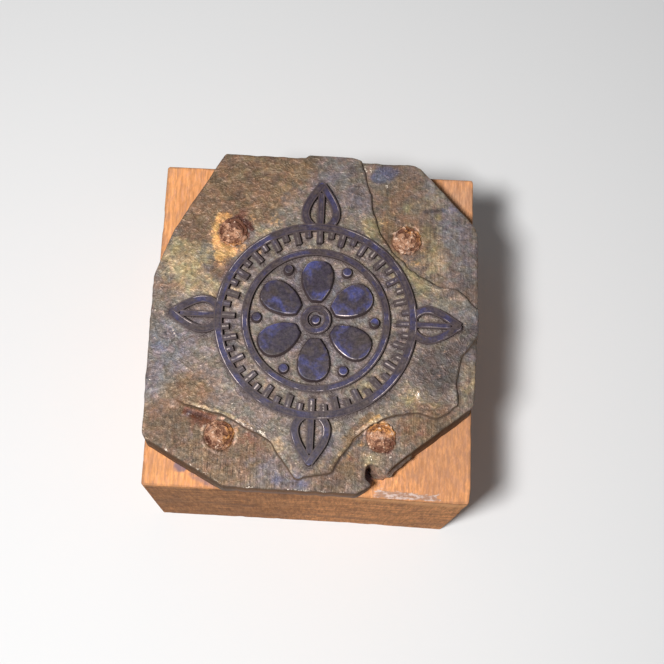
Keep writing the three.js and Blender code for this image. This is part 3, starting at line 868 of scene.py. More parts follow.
def raisedLineTree():
    tree, given = newTree("raisedLine", Geometry=["Curve"],
                          Float=["Line Width", "Top", "Depth", "Flare", "Shoulder"])
    width, depth = given["Line Width"], given["Depth"]
    section = signal(tree, "GeometryNodeCurvePrimitiveQuadrilateral", {
        "Bottom Width": width + given["Flare"] * 2.0, "Top Width": width, "Height": depth, "Offset": 0.0},
        mode="TRAPEZOID")
    x, y = signal(tree, "GeometryNodeInputPosition").axes()[:2]
    rounded = signal(tree, "GeometryNodeFilletCurve", {
        0: section, "Radius": maths("GREATER_THAN", y, 0.0) * given["Shoulder"], "Count": 3,
        "Limit Radius": True}, mode="POLY")
    profile = marked(tree, rounded, "across", x / (width * 0.5))
    level = signal(tree, "GeometryNodeSetCurveNormal", {0: given["Curve"]}, mode="Z_UP")
    swept = signal(tree, "GeometryNodeCurveToMesh", {0: level, "Profile Curve": profile, "Fill Caps": True})
    return closeTree(tree, moved(tree, swept, combined(tree, z=given["Top"] - depth * 0.5)))


def turnedCopiesTree():
    tree, given = newTree("turnedCopies", Geometry=["Shape"], Int=["Count"], Float=["First Turn"])
    spots = signal(tree, "GeometryNodePoints", {"Count": given["Count"]})
    share = signal(tree, "GeometryNodeInputIndex") + given["First Turn"]
    angle = share * (2 * math.pi) / given["Count"]
    copies = signal(tree, "GeometryNodeInstanceOnPoints", {
        "Points": spots, "Instance": given["Shape"], "Rotation": combined(tree, z=angle)})
    return closeTree(tree, signal(tree, "GeometryNodeRealizeInstances", {0: copies}))


ornamentSizes = {"Top": typeHeight}  # named inputs of the tree, in millimetres, such as "Outer Ring"
for key in ("outerRing", "outerLine", "innerRing", "innerLine", "eyeRing", "eyeLine", "tickWidth", "longTick",
            "shortTick", "leafLine", "ribLine", "ribEnd", "depth", "flare", "shoulder", "stepDown", "wobble",
            "wear"):
    label = "".join(" " + letter if letter.isupper() else letter for letter in key).title()
    ornamentSizes[label] = ornament[key]
leafPoints = ["Leaf Root", "Leaf Belly", "Leaf Neck", "Leaf Tip"]


def ornamentTree():
    tree, given = newTree("printersOrnament", Float=[*ornamentSizes, "Seed", "Leaf Tip Size"],
                          Int=["Tick Count", "Petal Count", "Leaf Count"], Vector=leafPoints,
                          Object=["Petal", "Bead", "Eye Dot"], Material=["Ink"])
    raisedLine, turnedCopies = raisedLineTree(), turnedCopiesTree()

    def line(curve, width, steps):
        same = {label: given[label] for label in ("Depth", "Flare", "Shoulder")}
        same["Top"] = given["Top"] - given["Step Down"] * float(steps)
        return signal(tree, "GeometryNodeGroup", {"Curve": curve, "Line Width": width, **same},
                      node_tree=raisedLine)

    def copies(shape, count, firstTurn=0.0):
        inputs = {"Shape": shape, "Count": given[count], "First Turn": firstTurn}
        return signal(tree, "GeometryNodeGroup", inputs, node_tree=turnedCopies)

    def ring(name, sides, steps):
        width = given[name + " Line"]
        circle = signal(tree, "GeometryNodeCurvePrimitiveCircle", {
            "Resolution": sides, "Radius": given[name + " Ring"] - width * 0.5}, mode="RADIUS")
        return line(circle, width, steps)

    def along(start, end):
        bar = signal(tree, "GeometryNodeCurvePrimitiveLine", {
            "Start": combined(tree, start), "End": combined(tree, end)}, mode="POINTS")
        return signal(tree, "GeometryNodeResampleCurve", {0: bar, "Count": 8})

    def shape(label):
        return signal(tree, "GeometryNodeObjectInfo", {"Object": given[label]}, "Geometry")

    def grain(size, detail, output):
        inputs = {"Vector": place, "W": given["Seed"], "Scale": size, "Detail": detail}
        return signal(tree, "ShaderNodeTexNoise", inputs, output, noise_dimensions="4D")

    given["Half Ticks"] = given["Tick Count"] * 0.5
    tickEnd = given["Outer Ring"] - given["Outer Line"]
    ringMiddle = given["Outer Ring"] - given["Outer Line"] * 0.5
    parts = [ring("Outer", 300, 0), ring("Inner", 220, 1), ring("Eye", 72, 1), shape("Eye Dot")]
    for label, firstTurn, steps in (("Long Tick", 0.0, 2), ("Short Tick", 0.5, 3)):
        bar = along(ringMiddle, tickEnd - given[label])
        parts.append(copies(line(bar, given["Tick Width"], steps), "Half Ticks", firstTurn))
    parts += [copies(shape("Petal"), "Petal Count", 0.5), copies(shape("Bead"), "Petal Count")]
    side = signal(tree, "GeometryNodeCurvePrimitiveBezierSegment", {
        "Resolution": 36, "Start": given["Leaf Root"], "Start Handle": given["Leaf Belly"],
        "End Handle": given["Leaf Neck"], "End": given["Leaf Tip"]}, mode="POSITION")
    otherSide = signal(tree, "GeometryNodeTransform", {0: side, "Scale": (1, -1, 1)})
    rib = along(ringMiddle, given["Rib End"])
    for curve, width, steps in ((side, "Leaf Line", 1), (otherSide, "Leaf Line", 2), (rib, "Rib Line", 3)):
        parts.append(copies(line(curve, given[width], steps), "Leaf Count"))
    tip = signal(tree, "GeometryNodeTransform", {
        0: shape("Eye Dot"), "Translation": given["Leaf Tip"],
        "Scale": combined(tree, given["Leaf Tip Size"], given["Leaf Tip Size"], 1.0)})
    parts.append(copies(tip, "Leaf Count"))
    joined = addNode(tree, "GeometryNodeJoinGeometry")
    for part in parts:
        tree.links.new(part.socket, joined.inputs[0])

    place = signal(tree, "GeometryNodeInputPosition")
    sway = vectorMaths("SUBTRACT", grain(900.0, 4.0, "Color"), (0.5, 0.5, 0.5))
    x, y, z = vectorMaths("SCALE", sway, scale=given["Wobble"]).axes()
    sunk = maths("SUBTRACT", 0.5, grain(420.0, 3.0, "Fac"), use_clamp=True) * given["Wear"]
    worn = moved(tree, Signal(joined.outputs[0]), combined(tree, x, y, sunk * -2.0))
    real = signal(tree, "GeometryNodeRealizeInstances", {0: worn})
    sharp = maths("GREATER_THAN", signal(tree, "GeometryNodeInputMeshEdgeAngle"), 0.9)
    smooth = signal(tree, "GeometryNodeSetShadeSmooth", {0: real, "Selection": sharp, "Shade Smooth": False},
                    domain="EDGE")
    return closeTree(tree, smooth, given["Ink"])


solidSteps = [  # from the foot of a solid shape to its flat top: how far out, how far down, paint across
    (ornament["flare"], ornament["depth"], 1.8), (0.03, 0.1, 1.15), (0.012, 0.055, 1.05),
    (-0.015, 0.02, 0.97), (-0.05, 0.004, 0.88), (-0.1, 0.0, 0.75),
]


def solidShape(name, outline, top, spacing=0.22):  # a closed, raised solid with a rounded shoulder
    normal = outwardNormals(outline)
    rows = [np.c_[outline + normal * gap, np.full(len(outline), top - drop)] for gap, drop, _ in solidSteps]
    foot, inner = rows[0][:, :2], rows[-1][:, :2]
    low, high = inner.min(axis=0), inner.max(axis=0)
    columns, lines = [np.arange(low[k], high[k], spacing) for k in (0, 1)]
    grid = np.stack(np.meshgrid(columns, lines), -1).reshape(-1, 2)
    grid = grid[insideLoop(grid, inner) & (distanceToPath(grid, inner, closed=True) > spacing * 0.45)]
    built = Builder()
    built.strip(rows)
    flat, faces = triangulate([inner], grid)
    built.level(flat, top, faces)
    flat, faces = triangulate([foot], [])
    built.level(flat, top - solidSteps[0][1], faces[:, ::-1])
    made = built.finish(name)
    across = np.zeros(len(made.data.vertices))
    for k, point in enumerate(pointsOf(made)):
        gaps = [np.abs(row - point).max(axis=1).min() for row in rows]
        if min(gaps) < 1e-3:
            across[k] = solidSteps[int(np.argmin(gaps))][2]
    paint(made, "across", across)
    paint(made, "broad", np.ones(len(across)))
    return made


def makeOrnament(ink):
    o = ornament
    bead, dot = ringPoints((o["beadCircle"], 0), o["beadRadius"], 20), ringPoints((0, 0), o["eyeDot"], 20)
    helpers = {"Petal": solidShape("petalShape", petalOutline(), typeHeight - 0.004),
               "Bead": solidShape("beadShape", bead, typeHeight - 0.02, 0.15),
               "Eye Dot": solidShape("eyeShape", dot, typeHeight - 0.02, 0.15)}
    values = {label: size * mm for label, size in ornamentSizes.items()}
    values |= {label: (x * mm, y * mm, 0.0) for label, (x, y) in zip(leafPoints, leafSide())}
    values |= {"Tick Count": o["tickCount"], "Petal Count": o["petalCount"], "Leaf Count": o["leafCount"]}
    values |= {"Leaf Tip Size": o["leafTipSize"], "Seed": 3.0, "Ink": ink, **helpers}
    made = shapedBy(lineObject("plate_ornament", np.zeros((1, 3))), ornamentTree(), values)
    for helper in helpers.values():
        bpy.data.objects.remove(helper)
    movePoints(made, pointsOf(made) + (*o["centre"], 0))
    return made


# Nails: a worn profile turned about its axis and roughened, again with Geometry Nodes

def nailProfile():  # (radius, height) from the point up to the middle of the head
    n = nails
    low, shank, head = -n["length"], n["shankRadius"], n["headRadius"]
    rows = [(0, low), (n["tipRadius"], low)]
    for share in (0.2, 0.4, 0.6, 0.8, 1.0):
        rows.append((n["tipRadius"] + (shank - n["tipRadius"]) * share, low + n["pointLength"] * share))
    rows += [(shank, z) for z in np.linspace(low + n["pointLength"], -0.05, 14)[1:]]
    rows += [(r, 0.0) for r in np.linspace(shank + 0.08, head - 0.04, 5)]
    rows += [(head, z) for z in np.linspace(0.04, n["headRim"], 4)]
    dome = n["headThickness"] - n["headRim"]
    for share in np.r_[0.985, np.linspace(0.95, 0.0, 30)]:
        groove = n["grooveDepth"] * math.exp(-((share - n["grooveAt"]) / n["grooveWidth"]) ** 2)
        rows.append((head * share, n["headRim"] + dome * (1 - share ** 4) ** 0.5 - groove))
    return np.array(rows)


def nailTree():
    tree, given = newTree("rustyNail", Geometry=["Profile"], Int=["Rows", "Around"], Material=["Rust"],
                          Float=["Crust", "Grit", "Head Radius", "Seed", "Tone"],
                          Vector=["Place", "Orange Side", "Dark Side"])

    def grain(size, **more):
        inputs = {"Vector": place, "W": given["Seed"], "Scale": size, **more}
        return signal(tree, "ShaderNodeTexNoise", inputs, "Fac", noise_dimensions="4D")

    sheet = signal(tree, "GeometryNodeMeshGrid", {
        "Size X": 1.0, "Size Y": 1.0, "Vertices X": given["Around"] + 1.0, "Vertices Y": given["Rows"]})
    place = signal(tree, "GeometryNodeInputPosition")
    x, y, z = place.axes()
    row = maths("ROUND", (y + 0.5) * (given["Rows"] - 1.0))
    radius, _, height = signal(tree, "GeometryNodeSampleIndex", {
        0: given["Profile"], "Value": place, "Index": row}, data_type="FLOAT_VECTOR", domain="POINT").axes()
    angle = (x + 0.5) * (2 * math.pi)
    wrapped = combined(tree, radius * maths("COSINE", angle), radius * maths("SINE", angle), height)
    turnedSolid = signal(tree, "GeometryNodeSetPosition", {0: sheet, "Position": wrapped})
    shape = signal(tree, "GeometryNodeMergeByDistance", {0: turnedSolid, "Distance": 1e-6})
    lumps, pits = grain(1700.0, Detail=1.5, Roughness=0.5, Distortion=0.8), grain(6000.0, Detail=2.0)
    flat = vectorMaths("SCALE", place, scale=1.0 / given["Head Radius"])
    flat = vectorMaths("MULTIPLY", flat, (1, 1, 0))
    values = {"reach": lengthOf(flat), "lumps": lumps, "tone": given["Tone"]}
    for name, label in (("orangeSide", "Orange Side"), ("darkSide", "Dark Side")):
        values[name] = vectorMaths("DOT_PRODUCT", flat, given[label], output="Value")
    for name, value in values.items():
        shape = marked(tree, shape, name, value)
    swell = (lumps - 0.56) * (given["Crust"] * 2.0) + (pits - 0.5) * (given["Grit"] * 2.0)
    head = signal(tree, "ShaderNodeMapRange", {0: z, 1: 0.0, 2: 0.0001})  # only the head is crusted
    outward = signal(tree, "GeometryNodeInputNormal")
    rough = moved(tree, shape, vectorMaths("SCALE", outward, scale=swell * head))
    return closeTree(tree, moved(tree, rough, given["Place"]), given["Rust"])


def makeNails(rust):
    tree, profile = nailTree(), nailProfile()
    line = np.c_[profile[:, 0], np.zeros(len(profile)), profile[:, 1]]
    made = {}
    for number, (name, (x, y)) in enumerate(nailPlaces.items()):
        *turns, tone = nailRustAndShade[name]
        sides = [(strength * math.cos(math.radians(turn)), strength * math.sin(math.radians(turn)), 0)
                 for turn, strength in turns]
        made[name] = shapedBy(lineObject(name + "_rusted", line), tree, {
            "Rows": len(profile), "Around": nails["around"], "Head Radius": nails["headRadius"] * mm,
            "Crust": nails["crust"] * mm, "Grit": nails["grit"] * mm, "Seed": 1.3 + number * 3.7,
            "Place": (x * mm, y * mm, nailSeat(name) * mm), "Orange Side": sides[0], "Dark Side": sides[1],
            "Tone": tone, "Rust": rust})
    return made


# Wood block: a box of fine squares whose edges are rounded, chipped and grained

block = {
    "cornerRadius": 0.26,
    "arris": 0.17,
    "fineStep": 0.07,
    "fineReach": 0.9,
    "coarseStep": 0.32,
    "meanDepth": 28.6,
    "grainDepth": 0.022,
    "grain": [(0.6, (0.16, 2.2, 0.16), 71, 3), (0.4, (0.5, 7, 0.5), 75, 2)],  # share, size, seed, octaves
    "chipDepth": 0.12,
    "cornerWear": 0.15,
    # (y, how far the right side stands out)
    "rightBow": [(-14.4, 0.3), (-12.6, 0.33), (-7.0, 0.3), (14.4, 0.19)],
    "frontBow": [(-13.5, 0.0), (4.0, 0.0), (13.5, 0.16)],  # (x, how far the front stands out)
    "leftFoot": 0.15,  # how far the left side stands out at its foot
}
blockTopMarks = {  # spots and streaks of the top, by attribute
    "dusty": [(12.3, 12.8, 2.0, 1.0), (12.9, 10.6, 1.0, 0.6)],
    "blueInk": [(-10.6, -12.3, 0.33, 1.3), (-10.2, -12.65, 0.3, 1.2), (-9.5, -13.0, 0.4, 0.5),
        (-8.9, -13.3, 0.4, 0.4), (-8.2, -13.7, 0.4, 0.45), (-11.2, -11.8, 0.4, 0.4),
        (-7.6, -14.0, 0.3, 0.4), (5.3, -12.4, 0.5, 1.1), (5.2, -13.0, 0.35, 0.8)],
    # the darker spots at the right are painted shade, those at the left grime from handling
    "handlingAndShade": [(-12.2, -12.4, 2.6, 0.35), (11.5, -11.5, 3.6, 0.9), (13.0, -8.0, 2.0, 0.8),
        (-12.6, 10.0, 1.5, 0.2), (12.6, 12.6, 1.8, 0.5)],
    "streaked": [(11.0, -11.0, 3.5, 1.0), (13.0, -7.0, 2.0, 1.0), (7.6, -13.0, 1.6, 0.7),
        (12.6, 12.6, 1.8, 1.0)],
    "paleInk": [(6.1, -13.85, 8.4, -13.9, 0.22, 0.9), (8.4, -13.9, 10.8, -14.0, 0.2, 0.8),
        (6.0, -14.15, 11.2, -14.2, 0.12, 1.0), (11.0, -13.7, 11.8, -13.6, 0.2, 0.35),
        (5.6, -11.9, 6.0, -13.3, 0.4, 0.3), (6.6, -13.4, 7.4, -13.2, 0.3, 0.35)],
}
frontStains = [  # on the front, each (x, z, x, z, half width, strength)
    (0.6, 5.4, 6.8, 3.6, 0.8, 1.0), (-8.4, 10.4, -5.2, 9.4, 0.9, 0.9), (-13.0, 9.0, -11.2, 10.5, 1.6, 0.7),
    (-7.0, 4.2, -2.4, 3.4, 1.1, 0.7), (-11.0, 14.6, -6.6, 15.0, 0.8, 0.5), (9.0, 2.0, 12.6, 4.4, 1.2, 0.6),
    (-1.6, 12.0, 2.4, 11.4, 0.8, 0.35),
]

blockLow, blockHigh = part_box("wood_block")
blockWidth = (blockHigh[0] - blockLow[0]) / mm


def sideDepths():  # the block is a little out of square: its depth at the left and at the right
    points = np.array([v.co[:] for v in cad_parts["wood_block"].data.vertices]) / mm
    return [2 * np.abs(points[side * points[:, 0] > 10][:, 1]).max() for side in (-1, 1)]


leftDepth, rightDepth = sideDepths()


def boxAxis(length):  # positions along one side of the box, close together near its ends
    reach = block["fineReach"]
    fine = np.arange(0, reach, block["fineStep"])
    count = int(round((length - 2 * reach) / block["coarseStep"]))
    return np.r_[fine, np.linspace(reach, length - reach, count + 1), length - fine[::-1]] - length / 2


def boxOfSquares(unit):
    built = Builder()
    for axis in range(3):
        first, second = [k for k in range(3) if k != axis]
        u, v = unit[first], unit[second]
        for side in (-1, 1):
            points = np.zeros((len(u), len(v), 3))
            points[..., first], points[..., second] = u[:, None], v[None, :]
            points[..., axis] = side * unit[axis][-1]
            index = np.arange(len(u) * len(v)).reshape(len(u), len(v))
            quads = np.stack([index[:-1, :-1], index[1:, :-1], index[1:, 1:], index[:-1, 1:]], -1)
            quads = quads.reshape(-1, 4)
            if (side > 0) == (axis == 1):
                quads = quads[:, ::-1]
            built.add(points.reshape(-1, 3), quads)
    return built.joined()


def roundEdges(points, half):  # rounds the upright corners, then the edges of the top and the bottom
    radius, arris = block["cornerRadius"], block["arris"]
    inner = np.clip(points[:, :2], radius - half[:2], half[:2] - radius)
    away = points[:, :2] - inner
    size, reach = np.linalg.norm(away, axis=1), np.abs(away).max(axis=1)
    outward = np.where(size[:, None] > 1e-9, away / np.maximum(size, 1e-9)[:, None], 0)
    side = np.where(size > 1e-9, radius - reach, 9.0)
    top = half[2] - np.abs(points[:, 2])
    a, c = np.clip(arris - side, 0, arris), np.clip(arris - top, 0, arris)
    long = np.hypot(a, c)
    scale = np.where(long > 1e-9, np.maximum(a, c) / np.maximum(long, 1e-9), 1)
    flat = inner + outward * (reach + a * scale - a)[:, None]
    z = np.sign(points[:, 2]) * (half[2] - top - (c - c * scale))
    return flat, z, side, top


def bendSides(flat, z, half):  # out of square, with the bows of two sides and the left foot
    depth = leftDepth + (rightDepth - leftDepth) * (flat[:, 0] / blockWidth + 0.5)
    flat[:, 1] *= depth / 2 / half[1]
    for axis, name, sign in ((0, "rightBow", 1), (1, "frontBow", -1)):
        across, bow = np.array(block[name]).T
        near = smoothStep(half[axis] - 6, half[axis], sign * flat[:, axis])
        flat[:, axis] += sign * np.interp(flat[:, 1 - axis], across, bow) * near
    low = smoothStep(half[2] + 4, -half[2], z)
    flat[:, 0] -= block["leftFoot"] * low * smoothStep(6 - half[0], -half[0], flat[:, 0])
    return np.c_[flat, z + half[2]]


def makeBlock():
    unit = boxAxis(blockWidth), boxAxis(block["meanDepth"]), boxAxis(blockTop)
    half = np.array([axis[-1] for axis in unit])
    points, faces = boxOfSquares(unit)
    flat, z, side, top = roundEdges(points, half)
    points = bendSides(flat, z, half)
    made = meshObject("wood_block_grained", points, faces)
    grain = sum(uneven(points, wave) for wave in block["grain"])
    points = points - vectorsOf(made, "normal") * (block["grainDepth"] * (0.55 + 0.45 * grain))[:, None]
    edge = smoothStep(0.7, 0.0, side) * smoothStep(0.7, 0.0, top)
    chips = smoothStep(0.1, 0.7, roughness(points, (1.2, 1.2, 1.2), 81, 3)) * edge
    corner = smoothStep(1.3, 0.2, awayFrom(points[:, :2], (blockWidth / 2, -rightDepth / 2)))
    corner *= smoothStep(-0.1, 0.6, roughness(points, (3, 3, 2), 85, 3)) * smoothStep(8.0, 15.0, points[:, 2])
    inward = np.c_[-0.7 * np.sign(points[:, :2]), np.where(points[:, 2] > half[2], -0.6, 0.6)]
    points = points + inward * (block["chipDepth"] * chips)[:, None]
    points = points + np.array([-0.7, 0.7, 0.0]) * (block["cornerWear"] * corner)[:, None]
    movePoints(made, points)
    paint(made, "edgeWear", np.clip(edge + corner, 0, 1))
    paintBlock(made, points, half)
    return made


def paintBlock(made, points, half):
    flat, z = points[:, :2], points[:, 2]
    top = smoothStep(blockTop - 0.5, blockTop - 0.1, z)
    front = smoothStep(-half[1] + 1.0, -half[1] + 0.3, points[:, 1]) * (1 - top)
    for name, places in blockTopMarks.items():
        found = marks(flat, places)
        paint(made, name, (0.2 + 0.65 * found if name == "streaked" else found) * top)
    rim = smoothStep(blockTop - 2.6, blockTop - 0.6, z) * smoothStep(-1.0, 7.0, points[:, 0])
    paint(made, "brightEdge", rim * front)
    paint(made, "shadedFront", smoothStep(7.0, -9.0, points[:, 0]) * front)
    paint(made, "frontStain", marks(points[:, [0, 2]], frontStains) * front)


# Materials

class Painter:  # lays colours over one another in the node tree of one material
    def __init__(self, name, finish, ground):
        self.material = bpy.data.materials.new(name)
        self.material.use_nodes = True
        self.tree = self.material.node_tree
        self.finish, self.colour, self.places = finish, ground, {}

    def place(self, stretch=(1, 1, 1), turn=0.0):  # object coordinates in millimetres, drawn out by stretch
        if (stretch, turn) not in self.places:
            self.places[stretch, turn] = signal(self.tree, "ShaderNodeMapping", {
                "Vector": signal(self.tree, "ShaderNodeTexCoord", output="Object"),
                "Scale": tuple(1 / mm / s for s in stretch), "Rotation": (0, 0, turn)})
        return self.places[stretch, turn]

    def noise(self, name):  # its entry in the finish: size, detail, roughness, distortion, stretch, turn
        size, *more = self.finish[name]
        detail, rough, distortion, stretch, turn = (*more, *(3.0, 0.55, 0.0, (1, 1, 1), 0.0)[len(more):])
        return signal(self.tree, "ShaderNodeTexNoise", {
            "Vector": self.place(stretch, turn), "Scale": 1 / size, "Detail": detail, "Roughness": rough,
            "Distortion": distortion}, "Fac")

    def noises(self, *names):
        return [self.noise(name) for name in names]

    def painted(self, name):
        return signal(self.tree, "ShaderNodeAttribute", output="Fac", attribute_name=name)

    def patchy(self, name, grain, softness=0.25):  # a painted mask broken up by a noise
        return (self.painted(name) + (grain - 0.5) * 1.2).band(0.45 - softness, 0.45 + softness)

    def mix(self, under, over, share, blend="MIX"):  # a colour is a Signal or its name in the finish
        under, over = [(*self.finish[c], 1) if isinstance(c, str) else c for c in (under, over)]
        return signal(self.tree, "ShaderNodeMix", {0: share, 6: under, 7: over}, 2, data_type="RGBA",
                      blend_type=blend)

    def cover(self, colour, share):
        self.colour = self.mix(self.colour, colour, share)

    def shade(self, gain, share=1.0):
        self.colour = self.mix(self.colour, gain, share, "MULTIPLY")

    def close(self, relief, distance, inputs):  # relief is the height that the bump node reads
        bump = {"Height": relief, "Distance": distance * mm, "Strength": 1.0}
        inputs |= {"Base Color": self.colour, "Normal": signal(self.tree, "ShaderNodeBump", bump)}
        setInputs(self.tree, self.tree.nodes["Principled BSDF"], inputs)
        return self.material


plateFinish = {
    "metal": (0.222, 0.172, 0.142),
    "warmGrain": (1.08, 1.0, 0.92),
    "coldGrain": (0.93, 0.99, 1.06),
    "greenish": (0.955, 1.01, 0.955),
    "pinkish": (1.03, 0.985, 1.03),
    "pale": (0.425, 0.31, 0.17),
    "brown": (0.20, 0.114, 0.060),
    "cold": (0.185, 0.16, 0.168),
    "dark": (0.085, 0.063, 0.056),
    "olive": (0.27, 0.21, 0.11),
    "ochre": (0.64, 0.34, 0.115),
    "rust": (0.175, 0.062, 0.034),
    "maroon": (0.09, 0.026, 0.015),
    "blue": (0.11, 0.115, 0.175),
    "glintSpeck": (0.62, 0.52, 0.42),
    "inkFilm": (0.085, 0.07, 0.105),
    "crust": (0.56, 0.37, 0.275),
    "lip": (0.60, 0.43, 0.285),
    "inkGrimeAndShade": (0.080, 0.055, 0.052),
    "freshMetalGlint": (0.84, 0.71, 0.58),
    "sawnEdgeShade": (0.125, 0.075, 0.046),
    "brownWall": (0.26, 0.128, 0.068),
    "mottle": (0.9, 4.0, 0.6),  # noises, each size, detail, roughness, distortion, stretch and turn
    "pebble": (0.3, 3.0, 0.6, 0.5),
    "grain": (0.12, 2.0, 0.6),
    "wrinkle": (1.05, 1.5, 0.5, 1.2),
    "streaks": (1.0, 3.0, 0.6, 0.0, (0.16, 1.8, 0.5), 0.25),
    "combs": (1.0, 1.0, 0.5, 0.0, (0.1, 1.2, 0.5), 0.05),
    "warmth": (0.5,),
    "hue": (1.1, 2.0, 0.5, 0.8),
    "grit": (0.1, 1.0),
}
plateStains = {  # how strongly each covers the metal, in the order they are laid
    "pale": 0.85, "brown": 0.85, "cold": 0.85, "olive": 0.8, "dark": 0.8, "rust": 0.9, "maroon": 0.95,
    "blue": 0.85,
}


def plateMaterial():
    p = Painter("tarnishedPlate", plateFinish, "metal")
    mottle, pebble, grain, streaks, combs = p.noises("mottle", "pebble", "grain", "streaks", "combs")
    wrinkle = abs(p.noise("wrinkle") - 0.5).band(0.1, 0.0)
    routed, sawn = p.painted("routed"), p.painted("sawn")
    p.cover("brown", routed * 0.3)
    for name, strength in plateStains.items():
        p.cover(name, p.patchy(name, mottle, 0.3) * strength)
    p.cover("ochre", p.patchy("ochre", pebble, 0.3) * 0.75)
    p.cover("inkFilm", p.patchy("inkFilm", pebble, 0.3) * 0.45)
    for name in ("crust", "lip"):
        p.cover(name, p.patchy(name, pebble, 0.35) * 0.8)
    p.shade(p.mix("warmGrain", "coldGrain", p.noise("warmth").band(0.35, 0.65)))
    p.shade(p.mix("greenish", "pinkish", p.noise("hue").band(0.4, 0.6)))
    # lighter worm-like lines along the wrinkles: painted highlight beside the same wrinkles in the bump
    wormy = (p.painted("wormy") + mottle.band(0.42, 0.6, 0.0, 0.5)) * (0.6 - routed * 0.25)
    gain = mottle * 1.2 + pebble * 1.5 + grain * 0.55 + wrinkle * wormy + routed * (streaks - 0.5)
    gain = gain + p.painted("combed") * (combs * 1.7 - 0.85) - 0.735
    p.shade(maths("MAXIMUM", gain, 0.25))
    # pale specks on the grain: painted glints
    p.cover("glintSpeck", p.noise("grit").band(0.68, 0.8) * 0.5)
    # dark halos at the borders, the raised lines and the nails: ink grime and painted shade
    p.cover("inkGrimeAndShade", (p.painted("grime") + pebble - 0.5).band(0.25, 0.85) * 0.85)
    # the sides darker: tarnish of the sawn metal and painted shade
    p.cover("sawnEdgeShade", sawn * pebble.band(0.3, 0.7, 1.0, 0.8))
    p.cover("brownWall", p.painted("brownWall"))
    # bright nicks and edges: worn metal with painted glints
    shine = maths("MAXIMUM", p.painted("freshAndGlint"), p.painted("edgeNickGlint"))
    freshAndGlint = (shine + grain * 2.4 - 1.2).band(0.55, 0.85) * shine.band(0.05, 0.3)
    p.cover("freshMetalGlint", freshAndGlint)
    relief = pebble + grain * 0.4 + wrinkle * (0.3 - routed * 0.2) + streaks * routed * 0.6
    dull = maths("MAXIMUM", pebble.band(0.3, 0.7, 0.66, 0.42), sawn * 0.85)
    return p.close(relief, 0.09, {
        "Metallic": 0.25, "Specular IOR Level": (1.0 - sawn * 0.9) * 0.5, "Roughness": dull - freshAndGlint * 0.2})


inkFinish = {
    "ink": (0.036, 0.026, 0.040),
    "brightInkSheen": (0.06, 0.062, 0.19),
    "brownInk": (0.058, 0.04, 0.034),
    "thinInk": (0.078, 0.056, 0.058),
    "rubbed": (0.112, 0.078, 0.070),
    "wall": (0.070, 0.048, 0.050),
    "tickInk": (0.072, 0.052, 0.046),
    "bareMetalGlint": (0.72, 0.60, 0.56),
    "patches": (1.9, 3.0, 0.5, 0.6),  # noises, each size, detail, roughness, distortion, stretch and turn
    "mottle": (0.35, 4.0, 0.65),
    "fine": (0.24, 3.0, 0.65, 0.6),
    "browning": (2.3, 3.0, 0.6, 0.5),
    "rubbing": (3.0, 2.0),
    "scratch": (1.0, 2.0, 0.55, 0.0, (0.08, 0.9, 0.5), 0.6),
}


def inkMaterial():
    p = Painter("inkedRelief", inkFinish, "ink")
    patches, mottle, scratch = p.noises("patches", "mottle", "scratch")
    broad, across = p.painted("broad"), p.painted("across")
    aside = abs(across)
    p.cover("brightInkSheen", (broad * 0.55 + 0.42) * patches.band(0.42, 0.66))  # thin lines are less blue; the bright blue patches are the ink's colour with the sheen of its film painted in
    p.cover("brownInk", p.noise("browning").band(0.50, 0.62) * 0.75)
    p.cover("thinInk", mottle.band(0.5, 0.66) * 0.5)
    rubbed = aside.band(0.9, 0.4) * (1.0 - broad) * patches.band(0.66, 0.36, 0.0, 0.4)
    p.cover("rubbed", rubbed * mottle.band(0.3, 0.6, 0.5, 1.0))
    p.shade(p.noise("fine").band(0.36, 0.64, 0.74, 1.26))

    # The ticks: brown ink at the sides, a bright ridge where they are worn, with a painted highlight off its
    # middle
    fromCentre = vectorMaths("SUBTRACT", p.place(), (*ornament["centre"], 0))
    reach = lengthOf(vectorMaths("MULTIPLY", fromCentre, (1, 1, 0)))
    start, end = ornament["innerRing"] + 0.1, ornament["outerRing"] - ornament["outerLine"]
    tick = reach.band(start, start + 0.15) * reach.band(end + 0.02, end - 0.08)
    p.cover("tickInk", tick * patches.band(0.35, 0.6, 0.9, 0.5))
    ridgeGlint = tick * 0.75 * abs(across + 0.12).band(0.62, 0.22) * mottle.band(0.38, 0.56)
    ridgeGlint = ridgeGlint * p.noise("rubbing").band(0.40, 0.56, 0.15, 1.0)
    p.cover("wall", aside.band(1.02, 1.12))
    # pale metal along the shoulders, stronger on one side: worn ink with a painted highlight; wear holds this
    # mask and the ticks' ridge
    crestGlint = aside.band(0.70, 0.96) * aside.band(1.10, 1.0) * across.band(-0.3, 0.3, 0.7, 1.0)
    wear = (crestGlint + (patches - 0.5) * 2.6).band(0.95, 1.2) * mottle.band(0.32, 0.5)
    wear = maths("MAXIMUM", wear * (1.0 - tick * 0.9), ridgeGlint)
    p.cover("bareMetalGlint", wear)
    return p.close(mottle * 0.6 + scratch * 0.3, 0.03, {
        "Metallic": wear, "Specular IOR Level": 0.38, "Roughness": mottle.band(0.3, 0.7, 0.34, 0.58)})


rustFinish = {
    "tan": (0.56, 0.29, 0.17),
    "brown": (0.15, 0.05, 0.025),
    "orange": (0.62, 0.26, 0.065),
    "lilac": (0.38, 0.29, 0.24),
    "bloomAndGlint": (0.90, 0.62, 0.45),
    "blotch": (0.6, 3.0, 0.6, 0.6),  # noises, each size, detail, roughness and distortion
    "grain": (0.3, 2.0, 0.5, 1.0),
}


